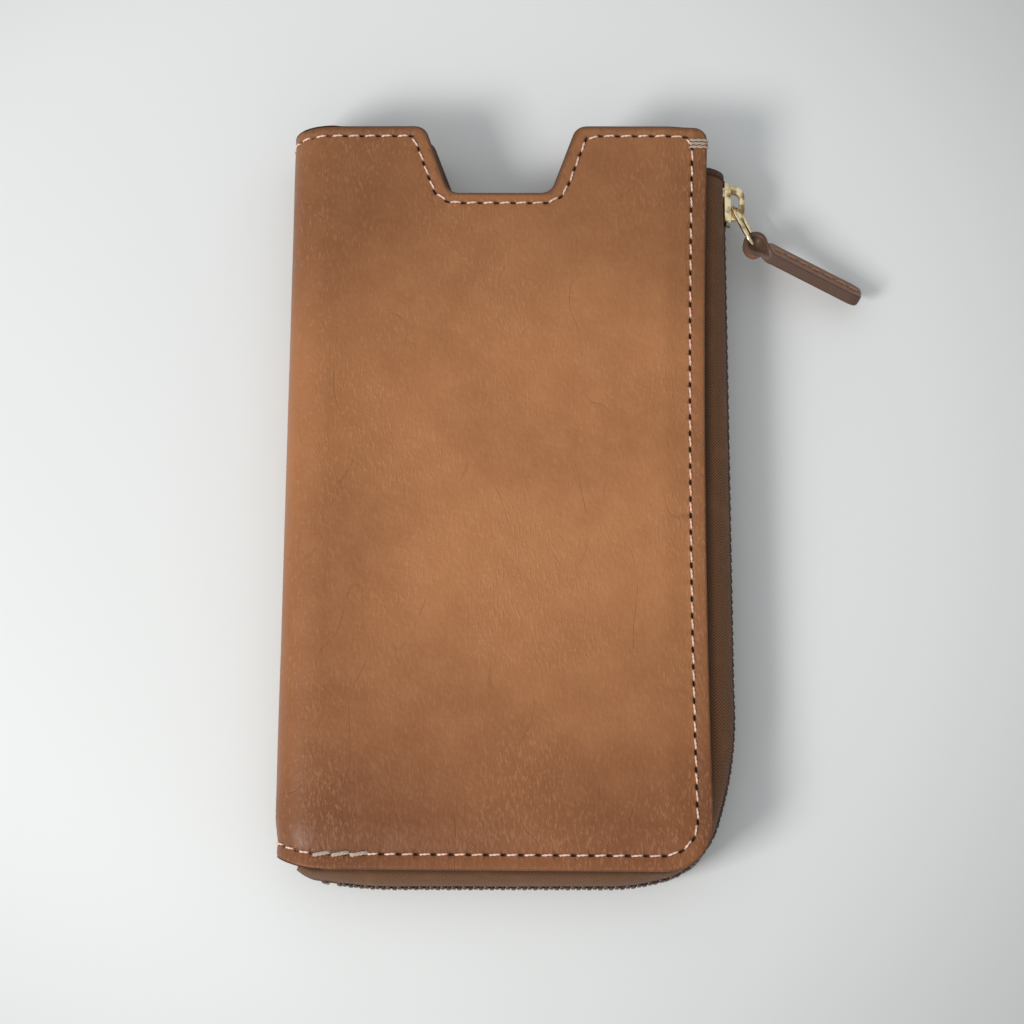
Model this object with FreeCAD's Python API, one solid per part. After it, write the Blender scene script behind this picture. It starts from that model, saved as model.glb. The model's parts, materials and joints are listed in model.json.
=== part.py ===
import FreeCAD, Part

# A zipped leather wallet case for a phone, lying on its back.
# +X points to the zipped side, +Y to the open mouth with the thumb notch, +Z up.
# The origin is the middle of the back panel's outer face.
# One leather wrap makes the back, the spine fold and the front. The phone's sleeve hangs under
# the front; the card pockets lie on the back; a zip closes the right side and the bottom.

import math
import os

Vector = FreeCAD.Vector
UP = Vector(0, 0, 1)

# ---- Driving dimensions: millimetres and degrees ----
half_width = 44.0
half_length = 79.0
case_thickness = 18.6
leather = 1.4
lining = 0.5
corner_radius = 10.0
mouth_corner_radius = 3.0

notch_half_top = 16.2
notch_half_bottom = 10.8
notch_depth = 15.1
notch_middle = 0.6             # towards the zipped side
notch_radius = 3.0
back_notch_step = 1.2          # the back's notch is this much narrower and shallower

border_start = 35.0            # the front starts to dip towards its sewn border here
border_run = 6.0
border_drop = 0.8

sleeve_wall = 1.0
sleeve_floor_level = 8.0
sleeve_right = 36.2
sleeve_lining = 0.4
sleeve_notch_step = 0.9        # the sleeve's notch is this much narrower and shallower
sleeve_notch_shift = 0.3       # and this much nearer the zipped side

pocket_count = 3
pocket_leather = 0.6
pocket_half_width = 31.0
pocket_bottom = -70.0
pocket_first_top = 40.0
pocket_step = 22.0
pocket_radius = 3.0

tape = 0.5
tape_sewn_width = 3.5
tape_edge = 1.7                # width of the flat tape edge that carries the teeth
tooth_pitch = 2.2
tooth_length = 1.0
tooth_depth = 1.6
tooth_height = 2.8
tooth_overlap = 1.6            # height shared by the two meshed rows
first_tooth = 5.6              # from the mouth end of the chain
stop_length = 1.5
stop_gap = 0.6                 # from either end of the chain to its stop

slider_y = 64.4
slider_length = 9.0
slider_half_wide = 3.1         # at the neck end
slider_half_narrow = 2.6       # at the closing end
slider_corner = 1.2
plate = 0.9
plate_clearance = 0.25
lip = 0.4
lip_width = 0.5
neck_length = 2.0
neck_setback = 1.0             # from the slider's end, clear of the upper top stop
neck_low = 1.2                 # above the zip's middle, clear of the lower teeth
neck_high = 1.9
slider_travel = 105.5

bridge_length = 7.8
bridge_bar = 1.2
bridge_hole_depth = 1.9
bridge_hole_length = 4.2
bridge_width = 1.6
bridge_radius = 2.4
bridge_shift = 0.5             # from the slider's middle towards the mouth
ring_pivot_shift = -1.0        # from the bridge's middle
ring_pivot_out = 1.05          # from the outer cheek

ring_wire_radius = 0.45
ring_length = 9.5              # between the wire's centre lines
ring_width = 5.4
ring_corner = 1.9
ring_heading = -63.0           # from +X, seen from above
ring_lean = -24.0

tab_heading = -24.5
tab_pitch = 11.0
tab_lean = 38.0
tab_length = 25.3
tab_width = 6.2
tab_half_thickness = 1.25
tab_end_radius = 2.4
tab_neck_width = 3.2
tab_neck_start = 2.0
tab_neck_end = 5.0
tab_neck_radius = 1.5
tab_eye_hole = 1.6
tab_eye_wall = 1.1
tab_eye_height = 3.2

thread_radius = 0.25
stitch_pitch = 3.5
stitch_length = 2.3
seam_inset = 3.1
mouth_inset = 2.3
groove_width = 0.8
groove_depth = 0.55
thread_lift = 0.27             # from the groove's floor to the thread's middle
tack_thread_radius = 0.3
mouth_tack_count = 3
mouth_tack_spacing = 1.1
mouth_tack_length = 3.0
end_tack_count = 2
end_tack_length = 3.2
end_tack_pitch = 3.8
end_tack_offset = 0.75
tab_stitch_count = 7
tab_stitch_pitch = 3.0
tab_stitch_length = 2.0

# ---- Values that follow from them ----
spine_radius = case_thickness / 2
spine_x = -half_width + spine_radius
front_underside = case_thickness - leather
flange_underside = front_underside - border_drop
zip_level = (leather + flange_underside) / 2
lining_top = leather + lining
lining_underside = front_underside - lining
far = 200.0                    # larger than the whole case, for cutting blocks

# The zip's line, seen from above: points from the mouth end to the closed end, with a middle
# point where the stretch to the next point is an arc. The seam runs along the leather's edge.
# The chain's inner face stands out from it, and comes close to it at the corner and at both ends.
seam_line = [
    (Vector(44, 70.2), None),
    (Vector(44, -42), None),
    (Vector(44, -69), Vector(41.07, -76.07)),
    (Vector(34, -79), None),
    (Vector(24, -79), None),
    (Vector(-18, -79), None),
    (Vector(-34.7, -79), None),
]
chain_line = [
    (Vector(47.2, 70.2), None),
    (Vector(48.1, -42), Vector(47.7, -55)),
    (Vector(45.2, -66.8), Vector(42.1, -73.6)),
    (Vector(37, -78), Vector(31, -79.7)),
    (Vector(24, -80.4), None),
    (Vector(-18, -80.7), Vector(-27, -80.4)),
    (Vector(-34.7, -79.4), None),
]

lower_row_level = zip_level - tooth_height + tooth_overlap / 2
upper_row_level = zip_level - tooth_overlap / 2
tape_fold_level = lower_row_level - tape_edge
chain_slope = (chain_line[1][0].x - chain_line[0][0].x) / (chain_line[0][0].y - chain_line[1][0].y)
chain_outer_x = chain_line[0][0].x + chain_slope * (chain_line[0][0].y - slider_y) + tooth_depth
cheek_outer_x = chain_outer_x + plate_clearance + plate
ring_pivot_y = slider_y + bridge_shift + ring_pivot_shift
ring_pivot = Vector(cheek_outer_x + ring_pivot_out, ring_pivot_y, zip_level)
ring_angle = math.radians(ring_heading)
tab_pivot = ring_pivot + Vector(math.cos(ring_angle), math.sin(ring_angle)) * ring_length


# ---- Helpers ----
def box(low, high):
    """A block between two opposite corners."""
    size = [b - a for a, b in zip(low, high)]
    return Part.makeBox(*size, Vector(*low))


def rounded_edges(corners, closed=True):
    """Edges along (x, y, radius) corners, each corner rounded by a tangent arc."""
    count = len(corners)
    starts = []
    ends = []
    arcs = []
    for i, (x, y, radius) in enumerate(corners):
        here = Vector(x, y)
        if radius == 0:
            starts.append(here)
            ends.append(here)
            arcs.append(None)
            continue
        before = Vector(*corners[i - 1][:2]) - here
        after = Vector(*corners[(i + 1) % count][:2]) - here
        before.normalize()
        after.normalize()
        half_angle = before.getAngle(after) / 2
        reach = radius / math.tan(half_angle)
        middle = before + after
        middle.normalize()
        middle = here + middle * (radius / math.sin(half_angle) - radius)
        starts.append(here + before * reach)
        ends.append(here + after * reach)
        arcs.append(middle)
    edges = []
    for i in range(count):
        if arcs[i] is not None:
            edges.append(Part.Arc(starts[i], arcs[i], ends[i]).toShape())
        if i + 1 < count or closed:
            edges.append(Part.makeLine(ends[i], starts[(i + 1) % count]))
    return edges


def prism(corners, low, high):
    """A vertical block whose plan is a rounded outline."""
    wire = Part.Wire(rounded_edges(corners))
    wire.translate(Vector(0, 0, low))
    return Part.Face(wire).extrude(Vector(0, 0, high - low))


def case_corners(side_inset=0.0, top_inset=0.0, notch_step=0.0, notch_shift=0.0):
    """The plan of the case from the spine's bottom round to the spine's top, with the notch."""
    right = half_width - side_inset
    bottom = -half_length + side_inset
    top = half_length - top_inset
    notch_top = notch_half_top - notch_step + top_inset
    notch_low = notch_half_bottom - notch_step + top_inset
    notch_floor = half_length - notch_depth + notch_step - top_inset
    middle = notch_middle + notch_shift
    outer = max(notch_radius - top_inset, 0.5)
    inner = notch_radius + top_inset
    return [
        (spine_x, bottom, 0),
        (right, bottom, max(corner_radius - side_inset, 0.5)),
        (right, top, max(mouth_corner_radius - side_inset, 0.5)),
        (middle + notch_top, top, outer),
        (middle + notch_low, notch_floor, inner),
        (middle - notch_low, notch_floor, inner),
        (middle - notch_top, top, outer),
        (spine_x, top, 0),
    ]


def border_edges(level):
    """The front's level from the middle outwards: flat, an S-shaped dip, then the flat border."""
    radius = (border_run ** 2 + border_drop ** 2) / (4 * border_drop)
    turn = math.asin(border_run / 2 / radius)
    bend_out = radius * math.sin(turn / 2)
    bend_down = radius * (1 - math.cos(turn / 2))
    start = Vector(border_start, level)
    centre = Vector(border_start + border_run / 2, level - border_drop / 2)
    end = Vector(border_start + border_run, level - border_drop)
    first_bend = start + Vector(bend_out, -bend_down)
    second_bend = end + Vector(-bend_out, bend_down)
    return [
        Part.makeLine(Vector(-far, level), start),
        Part.Arc(start, first_bend, centre).toShape(),
        Part.Arc(centre, second_bend, end).toShape(),
        Part.makeLine(end, Vector(far, level - border_drop)),
        Part.makeLine(Vector(far, level - border_drop), Vector(far, 0)),
        Part.makeLine(Vector(far, 0), Vector(-far, 0)),
        Part.makeLine(Vector(-far, 0), Vector(-far, level)),
    ]


def crowned_block(level):
    """Everything under the front's surface, dipping at the right side and at the bottom."""
    side = Part.Face(Part.Wire(border_edges(level)))
    side.rotate(Vector(0, 0, 0), Vector(1, 0, 0), 90)
    side.translate(Vector(0, far, 0))
    side = side.extrude(Vector(0, -2 * far, 0))
    bottom = Part.Face(Part.Wire(border_edges(level)))
    bottom.rotate(Vector(0, 0, 0), Vector(1, 0, 0), 90)
    bottom.rotate(Vector(0, 0, 0), UP, -90)
    bottom.translate(Vector(-far, -half_length + half_width, 0))
    bottom = bottom.extrude(Vector(2 * far, 0, 0))
    return side.common(bottom)


def border_dip(distance):
    """How far the front lies below its middle, a given distance in from the sewn edge."""
    share = (half_width - distance - border_start) / border_run
    share = min(max(share, 0.0), 1.0)
    return border_drop * share * share * (3 - 2 * share)


def front_level(point):
    """The front's height at a point seen from above."""
    side_dip = border_dip(half_width - point.x)
    bottom_dip = border_dip(point.y + half_length)
    return case_thickness - max(side_dip, bottom_dip)


def line_edges(points, level=0.0):
    """Edges along a list of (point, arc middle) pairs at one height."""
    lift = Vector(0, 0, level)
    edges = []
    for (start, bend), (end, _) in zip(points, points[1:]):
        if bend is None:
            edges.append(Part.makeLine(start + lift, end + lift))
        else:
            edges.append(Part.Arc(start + lift, bend + lift, end + lift).toShape())
    return edges


def beside(points, distance, level=0.0):
    """A line's edges moved outwards by a distance (inwards if negative), at one height."""
    wire = Part.Wire(line_edges(points))
    if distance:
        wire = wire.makeOffset2D(-distance, join=2, openResult=True)
    wire.translate(Vector(0, 0, level))
    return wire.OrderedEdges


def ring_of(inner, outer):
    """A closed wire round the strip between two edges that run the same way."""
    starts = [edge.valueAt(edge.FirstParameter) for edge in (inner, outer)]
    ends = [edge.valueAt(edge.LastParameter) for edge in (inner, outer)]
    return Part.Wire([inner, Part.makeLine(ends[0], ends[1]), outer, Part.makeLine(starts[1], starts[0])])


def band(points, inner, outer, low, high):
    """An upright or flat strip along a line, between two distances outside it."""
    pieces = []
    for near, away in zip(beside(points, inner, low), beside(points, outer, low)):
        pieces.append(Part.Face(ring_of(near, away)).extrude(Vector(0, 0, high - low)))
    return pieces


def web(low_points, low_inner, low_level, high_points, high_inner, high_level, width):
    """Slanted strips of one width that join two lines at different heights."""
    pieces = []
    low_near = beside(low_points, low_inner, low_level)
    low_away = beside(low_points, low_inner + width, low_level)
    high_near = beside(high_points, high_inner, high_level)
    high_away = beside(high_points, high_inner + width, high_level)
    for edges in zip(low_near, low_away, high_near, high_away):
        pieces.append(Part.makeLoft([ring_of(*edges[:2]), ring_of(*edges[2:])], True, True))
    return pieces


def mirrored(shape):
    """The twin of a shape on the other side of the zip's middle level."""
    return shape.mirror(Vector(0, 0, zip_level), UP)


def point_on(wire, distance):
    """The point that lies a given distance along a wire."""
    for edge in wire.OrderedEdges:
        if distance <= edge.Length:
            return edge.valueAt(edge.getParameterByLength(distance))
        distance -= edge.Length
    return edge.valueAt(edge.LastParameter)


def steps_along(wire, first, last, step, length):
    """(start, unit direction) of each piece of one length, set every step along a wire."""
    found = []
    place = first
    while place + length <= last:
        start = point_on(wire, place)
        direction = point_on(wire, place + length) - start
        found.append((start, direction.normalize()))
        place += step
    return found


def turned_block(start, direction, size):
    """A block (along, across to the left, up) that starts at a point and heads one way."""
    block = Part.makeBox(*size)
    block.rotate(Vector(0, 0, 0), UP, math.degrees(math.atan2(direction.y, direction.x)))
    block.translate(start)
    return block


def thread(start, direction, length, radius=thread_radius):
    """One visible stitch."""
    return Part.makeCylinder(radius, length, start, direction)


def save(name, shape):
    """Write one piece, or one group of separate solids, to its own file."""
    shape.exportStep(os.path.join("parts", name + ".step"))
    print(name, "solids", len(shape.Solids), "valid", shape.isValid(), "volume", round(shape.Volume, 1))


# ---- The outer leather and its lining ----
def stitch_groove(notch_step):
    """The channel that the stitches lie in: right side, bottom, mouth and notch."""
    half = groove_width / 2
    outer = case_corners(seam_inset - half, mouth_inset - half, notch_step)
    inner = case_corners(seam_inset + half, mouth_inset + half, notch_step)
    return prism(outer, -far, far).cut(prism(inner, -far, far))


def front_panel():
    sheet = crowned_block(case_thickness).cut(crowned_block(front_underside))
    panel = sheet.common(prism(case_corners(), 0, case_thickness))
    channel = crowned_block(case_thickness).cut(crowned_block(case_thickness - groove_depth))
    return panel.cut(channel.common(stitch_groove(0)))


def back_panel():
    panel = prism(case_corners(notch_step=back_notch_step), 0, leather)
    channel = stitch_groove(back_notch_step).common(box((-far, -far, -far), (far, far, groove_depth)))
    return panel.cut(channel)


def spine():
    """The leather folded round the closed side, half a tube."""
    base = Vector(spine_x, -half_length, spine_radius)
    along_y = Vector(0, 1, 0)
    tube = Part.makeCylinder(spine_radius, 2 * half_length, base, along_y)
    tube = tube.cut(Part.makeCylinder(spine_radius - leather, 2 * half_length, base, along_y))
    return tube.common(box((-far, -far, -far), (spine_x, far, far)))


def back_lining():
    return prism(case_corners(tape_sewn_width, notch_step=back_notch_step), leather, lining_top)


def front_lining():
    corners = case_corners(half_width - border_start + lining)
    return prism(corners, lining_underside, front_underside)


# ---- The phone's sleeve, sewn under the front ----
def phone_sleeve():
    """A tray with a flange: floor, three walls, and the rim that is sewn under the front."""
    rim_top = flange_underside - tape
    floor_top = sleeve_floor_level + sleeve_wall
    bottom = -half_length + half_width - sleeve_right
    plan = case_corners(half_width - sleeve_right, 0, sleeve_notch_step, sleeve_notch_shift)
    tray = prism(plan, sleeve_floor_level, rim_top)
    rim = prism(case_corners(2 * tape), rim_top - sleeve_wall, rim_top).cut(prism(plan, 0, far))
    lip_wall = box((spine_x, bottom, rim_top), (spine_x + sleeve_wall, half_length, lining_underside))
    inside_low = (spine_x + sleeve_wall, bottom + sleeve_wall, floor_top)
    hollow = box(inside_low, (sleeve_right - sleeve_wall, far, far))
    return tray.multiFuse([rim, lip_wall]).cut(hollow).removeSplitter()


def phone_sleeve_lining():
    floor = sleeve_floor_level + sleeve_wall
    inset = half_width - sleeve_right + sleeve_wall
    corners = case_corners(inset, 0, sleeve_notch_step, sleeve_notch_shift)
    sheet = prism(corners, floor, floor + sleeve_lining)
    return sheet.common(box((spine_x + sleeve_wall, -far, 0), (far, far, far)))


# ---- Card pockets on the back ----
def card_pocket(number):
    """One thin panel of the stepped stack; each next one is shorter and lies on the last."""
    low = lining_top + number * pocket_leather
    top = pocket_first_top - number * pocket_step
    corners = [
        (-pocket_half_width, pocket_bottom, pocket_radius),
        (pocket_half_width, pocket_bottom, pocket_radius),
        (pocket_half_width, top, pocket_radius),
        (-pocket_half_width, top, pocket_radius),
    ]
    return prism(corners, low, low + pocket_leather)


# ---- The zip ----
def lower_zip_tape():
    """Sewn strip on the back, slanted web out to the chain, and the upright edge at the teeth."""
    inset = (tooth_depth - tape) / 2
    sewn = band(seam_line, -tape_sewn_width, 0, leather, lining_top)
    slant = web(seam_line, -tape, lining_top, chain_line, inset, tape_fold_level, tape)
    edge = band(chain_line, inset, inset + tape, tape_fold_level, lower_row_level)
    pieces = sewn + slant + edge
    return pieces[0].multiFuse(pieces[1:]).removeSplitter()


def tooth_row(offset, low):
    """Every second tooth place along the chain, as separate blocks."""
    wire = Part.Wire(line_edges(chain_line))
    end = wire.Length - 2 * stop_gap - stop_length
    teeth = []
    for start, direction in steps_along(wire, first_tooth + offset, end, tooth_pitch, tooth_length):
        start.z = low
        teeth.append(turned_block(start, direction, (tooth_length, tooth_depth, tooth_height)))
    return Part.makeCompound(teeth)


def zip_stop(place, low, high):
    """A block clamped on the chain's line, a given distance from its mouth end."""
    wire = Part.Wire(line_edges(chain_line))
    start = point_on(wire, place)
    direction = (point_on(wire, place + stop_length) - start).normalize()
    start.z = low
    return turned_block(start, direction, (stop_length, tooth_depth, high - low))


def bottom_stop():
    length = Part.Wire(line_edges(chain_line)).Length
    return zip_stop(length - stop_gap - stop_length, lower_row_level, upper_row_level + tooth_height)


# ---- The slider and its pull ----
def stood_up(shape):
    """Turn a shape drawn flat so that its x runs along Y, its y along Z and its z along X."""
    return shape.rotate(Vector(0, 0, 0), Vector(1, 1, 1), 120)


def slider_plate(side):
    """One cheek of the slider with its two guide lips; side is 1 outside and -1 inside."""
    half = slider_length / 2
    corners = [
        (-half, -slider_half_narrow, slider_corner),
        (half, -slider_half_wide, slider_corner),
        (half, slider_half_wide, slider_corner),
        (-half, slider_half_narrow, slider_corner),
    ]
    between_lips = [
        (-far, -slider_half_narrow + lip_width, 0),
        (far, -slider_half_narrow + lip_width, 0),
        (far, slider_half_narrow - lip_width, 0),
        (-far, slider_half_narrow - lip_width, 0),
    ]
    cheek = prism(corners, 0, plate)
    lips = prism(corners, -lip, 0).cut(prism(between_lips, -lip, 0))
    cheek = cheek.fuse(lips)
    if side < 0:
        cheek = cheek.mirror(Vector(0, 0, 0), UP)
    stood_up(cheek)
    start = chain_outer_x if side > 0 else chain_outer_x - tooth_depth
    cheek.translate(Vector(start + side * plate_clearance, slider_y, zip_level))
    return cheek


def slider_body():
    end = slider_y + slider_length / 2 - neck_setback
    low = (chain_outer_x - tooth_depth - plate_clearance, end - neck_length, zip_level + neck_low)
    high = (chain_outer_x + plate_clearance, end, zip_level + neck_high)
    return slider_plate(1).multiFuse([slider_plate(-1), box(low, high)]).removeSplitter()


def slider_bridge():
    """The arch on the slider's outer cheek that carries the ring."""
    half = bridge_length / 2
    depth = bridge_hole_depth + bridge_bar
    hole = bridge_hole_length / 2
    outline = [(0, -half, 0), (depth, -half, bridge_radius), (depth, half, bridge_radius), (0, half, 0)]
    inner_radius = bridge_radius - bridge_bar
    opening = [
        (-1, -hole, 0),
        (bridge_hole_depth, -hole, inner_radius),
        (bridge_hole_depth, hole, inner_radius),
        (-1, hole, 0),
    ]
    arch = prism(outline, -bridge_width / 2, bridge_width / 2).cut(prism(opening, -far, far))
    arch.translate(Vector(cheek_outer_x, slider_y + bridge_shift, zip_level))
    return arch


def pull_ring():
    """A rounded rectangle of wire, standing on edge through the bridge."""
    half = ring_width / 2
    corners = [
        (0, -half, ring_corner),
        (ring_length, -half, ring_corner),
        (ring_length, half, ring_corner),
        (0, half, ring_corner),
    ]
    path = Part.Wire(rounded_edges(corners))
    first = path.OrderedEdges[0]
    tangent = first.tangentAt(first.FirstParameter)
    section = Part.Wire(Part.makeCircle(ring_wire_radius, first.valueAt(first.FirstParameter), tangent))
    ring = path.makePipeShell([section], True, True)
    ring.rotate(Vector(0, 0, 0), Vector(1, 0, 0), 90 - ring_lean)
    ring.rotate(Vector(0, 0, 0), UP, ring_heading)
    ring.translate(ring_pivot)
    return ring


def tab_placed(shape):
    """Move a shape drawn along +X, standing on edge, to where the pull tab lies."""
    shape.rotate(Vector(0, 0, 0), Vector(1, 0, 0), tab_lean)
    shape.rotate(Vector(0, 0, 0), Vector(0, 1, 0), tab_pitch)
    shape.rotate(Vector(0, 0, 0), UP, tab_heading)
    shape.translate(tab_pivot)
    return shape


def pull_tab():
    """A doubled strap that loops round the ring's far end."""
    half = tab_width / 2
    neck = tab_neck_width / 2
    corners = [
        (tab_neck_start, -neck, 0),
        (tab_neck_end, -half, tab_neck_radius),
        (tab_length, -half, tab_end_radius),
        (tab_length, half, tab_end_radius),
        (tab_neck_end, half, tab_neck_radius),
        (tab_neck_start, neck, 0),
    ]
    strap = prism(corners, -tab_half_thickness, tab_half_thickness)
    strap.rotate(Vector(0, 0, 0), Vector(1, 0, 0), 90)
    eye_base = tab_pivot - Vector(0, 0, tab_eye_height / 2)
    eye = Part.makeCylinder(tab_eye_hole + tab_eye_wall, tab_eye_height, eye_base)
    hole = Part.makeCylinder(tab_eye_hole, far, tab_pivot - Vector(0, 0, far / 2))
    return tab_placed(strap).fuse(eye).cut(hole).removeSplitter()


# ---- Thread ----
def seam_stitches(notch_step, level_at, wanted):
    """Stitches round the case in their groove; wanted picks the ones of one seam."""
    path = Part.Wire(rounded_edges(case_corners(seam_inset, mouth_inset, notch_step), closed=False))
    threads = []
    first = (stitch_pitch - stitch_length) / 2
    for start, direction in steps_along(path, first, path.Length, stitch_pitch, stitch_length):
        if wanted(start):
            start.z = level_at(start)
            threads.append(thread(start, direction, stitch_length))
    return Part.makeCompound(threads)


def is_on_mouth(point):
    """Whether a stitch belongs to the mouth's row rather than to the side or the bottom."""
    return point.y > 0 and point.x < half_width - seam_inset - thread_radius


def front_groove_level(point):
    return front_level(point) - groove_depth + thread_lift


def back_groove_level(point):
    return thread_lift


def bar_tacks():
    """Doubled threads that lock the seam's two ends: over the mouth's corner, and at the spine."""
    border_top = case_thickness - border_drop
    lift = border_top + tack_thread_radius
    threads = []
    for i in range(mouth_tack_count):
        y = half_length - mouth_inset - mouth_corner_radius / 2 - i * mouth_tack_spacing
        start = Vector(half_width - mouth_tack_length, y, lift)
        threads.append(thread(start, Vector(1, 0, 0), mouth_tack_length, tack_thread_radius))
    for i in range(end_tack_count):
        y = -half_length + seam_inset + end_tack_offset
        start = Vector(spine_x + i * end_tack_pitch, y, lift)
        threads.append(thread(start, Vector(1, 0, 0), end_tack_length, tack_thread_radius))
    return Part.makeCompound(threads)


def pull_tab_stitching():
    """A short row of stitches down the middle of each face of the strap."""
    threads = []
    for side in (-1, 1):
        for i in range(tab_stitch_count):
            x = tab_neck_end + i * tab_stitch_pitch
            start = Vector(x, side * (tab_half_thickness + thread_radius), 0)
            threads.append(thread(start, Vector(1, 0, 0), tab_stitch_length))
    return tab_placed(Part.makeCompound(threads))


def main():
    os.makedirs("parts", exist_ok=True)
    save("front_panel", front_panel())
    save("back_panel", back_panel())
    save("spine", spine())
    save("front_lining", front_lining())
    save("back_lining", back_lining())
    save("phone_sleeve", phone_sleeve())
    save("phone_sleeve_lining", phone_sleeve_lining())
    for number in range(pocket_count):
        save("card_pocket_%d" % (number + 1), card_pocket(number))
    save("lower_zip_tape", lower_zip_tape())
    save("upper_zip_tape", mirrored(lower_zip_tape()))
    save("lower_zip_teeth", tooth_row(0, lower_row_level))
    save("upper_zip_teeth", tooth_row(tooth_pitch / 2, upper_row_level))
    save("lower_top_stop", zip_stop(stop_gap, lower_row_level, zip_level))
    save("upper_top_stop", zip_stop(stop_gap, zip_level, upper_row_level + tooth_height))
    save("bottom_stop", bottom_stop())
    save("slider_body", slider_body())
    save("slider_bridge", slider_bridge())
    save("pull_ring", pull_ring())
    save("pull_tab", pull_tab())
    save("pull_tab_stitching", pull_tab_stitching())
    save("front_seam_stitching", seam_stitches(0, front_groove_level, lambda p: not is_on_mouth(p)))
    save("mouth_stitching", seam_stitches(0, front_groove_level, is_on_mouth))
    save("back_stitching", seam_stitches(back_notch_step, back_groove_level, lambda p: True))
    save("bar_tacks", bar_tacks())
    slide = (chain_line[1][0] - chain_line[0][0]).normalize()
    print("slide axis", slide, "travel", slider_travel)
    print("ring pivot", ring_pivot, "tab pivot", tab_pivot)
    print("spine axis at x", spine_x, "z", spine_radius)


main()
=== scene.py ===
# %% [markdown]
# # A zipped leather wallet case for a phone
#
# One piece of tan leather makes the back, the fold on the left and the front. A zip closes the
# right side and the bottom, and a brass slider carries a ring with a leather pull. The frame
# below is the finished CAD model, with its bodies and joints. Everything that follows dresses
# that frame: each piece is placed from the CAD boxes, and the pieces of the back and the moving
# parts ride on CAD bodies.

# %% Load the frame
import json
import math

import bmesh
import bpy
import numpy as np
from mathutils import Matrix, Vector, noise
from mathutils.geometry import delaunay_2d_cdt


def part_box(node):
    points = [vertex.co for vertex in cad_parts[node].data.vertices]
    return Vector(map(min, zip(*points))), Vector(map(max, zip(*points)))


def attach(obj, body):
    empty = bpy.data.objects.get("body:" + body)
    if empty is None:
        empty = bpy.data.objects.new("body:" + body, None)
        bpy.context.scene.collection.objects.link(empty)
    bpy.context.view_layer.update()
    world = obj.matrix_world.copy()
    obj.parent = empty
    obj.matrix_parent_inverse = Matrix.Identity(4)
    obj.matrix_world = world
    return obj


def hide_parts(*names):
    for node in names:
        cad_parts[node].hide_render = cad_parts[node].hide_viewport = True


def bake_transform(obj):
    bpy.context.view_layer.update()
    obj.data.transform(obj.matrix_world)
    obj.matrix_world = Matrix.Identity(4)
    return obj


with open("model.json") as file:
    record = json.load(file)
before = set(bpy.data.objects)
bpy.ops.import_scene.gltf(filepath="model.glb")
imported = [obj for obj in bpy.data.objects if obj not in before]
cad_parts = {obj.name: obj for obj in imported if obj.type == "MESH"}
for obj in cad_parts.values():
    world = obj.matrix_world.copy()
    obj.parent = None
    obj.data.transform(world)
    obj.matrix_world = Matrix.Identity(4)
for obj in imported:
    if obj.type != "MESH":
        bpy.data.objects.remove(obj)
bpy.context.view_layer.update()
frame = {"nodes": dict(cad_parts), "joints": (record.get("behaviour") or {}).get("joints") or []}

MM = 0.001

# %% [markdown]
# ## Sizes taken from the frame
#
# The case lies on its back with +X towards the zip and +Y towards the open mouth. We work in
# millimetres and turn to metres only when a mesh is made, because leather work is thought of in
# millimetres. The main sizes are read from the CAD boxes, so that the dressed model always fits.

# %% Main sizes in millimetres
def cad_box(node):
    """Lowest and highest corner of a CAD node in millimetres."""
    low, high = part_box(node)
    return low / MM, high / MM


back_low, back_high = cad_box("back_panel")
front_high = cad_box("front_panel")[1]
CASE_TOP = front_high.z
HALF_WIDTH = back_high.x
HALF_LENGTH = back_high.y
LEATHER = back_high.z
SPINE_X = back_low.x
SPINE_RADIUS = CASE_TOP / 2
ZIP_LEVEL = (cad_box("lower_zip_teeth")[0].z + cad_box("upper_zip_teeth")[1].z) / 2
print("half width", HALF_WIDTH, "half length", HALF_LENGTH, "fold radius", SPINE_RADIUS)

# %% [markdown]
# ## Camera
#
# We look down steeply from the foot of the case, as one looks at a wallet on a table. A camera
# is a position, a target and a lens, and its roll is a turn about the line of sight.

# %% Camera
CAMERA_AZIMUTH = math.radians(5.642)
CAMERA_ELEVATION = math.radians(76.819)
CAMERA_ROLL = math.radians(0.537)
CAMERA_TARGET = Vector((3.593, -3.533, 9.0)) * MM
CAMERA_DISTANCE = 0.52
CAMERA_LENS = 87.12


def make_camera():
    back = Vector((
        math.sin(CAMERA_AZIMUTH) * math.cos(CAMERA_ELEVATION),
        -math.cos(CAMERA_AZIMUTH) * math.cos(CAMERA_ELEVATION),
        math.sin(CAMERA_ELEVATION),
    ))
    right = (-back).cross(Vector((0, 1, 0))).normalized()
    up = right.cross(-back).normalized()
    rolled_right = right * math.cos(CAMERA_ROLL) + up * math.sin(CAMERA_ROLL)
    rolled_up = up * math.cos(CAMERA_ROLL) - right * math.sin(CAMERA_ROLL)
    data = bpy.data.cameras.new("camera")
    data.lens = CAMERA_LENS
    data.sensor_width = 36.0
    camera = bpy.data.objects.new("camera", data)
    turn = Matrix((rolled_right, rolled_up, back)).transposed().to_4x4()
    camera.matrix_world = Matrix.Translation(CAMERA_TARGET + back * CAMERA_DISTANCE) @ turn
    bpy.context.collection.objects.link(camera)
    bpy.context.scene.camera = camera
    return camera


camera = make_camera()
print("camera at", [round(v, 3) for v in camera.matrix_world.translation])
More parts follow.
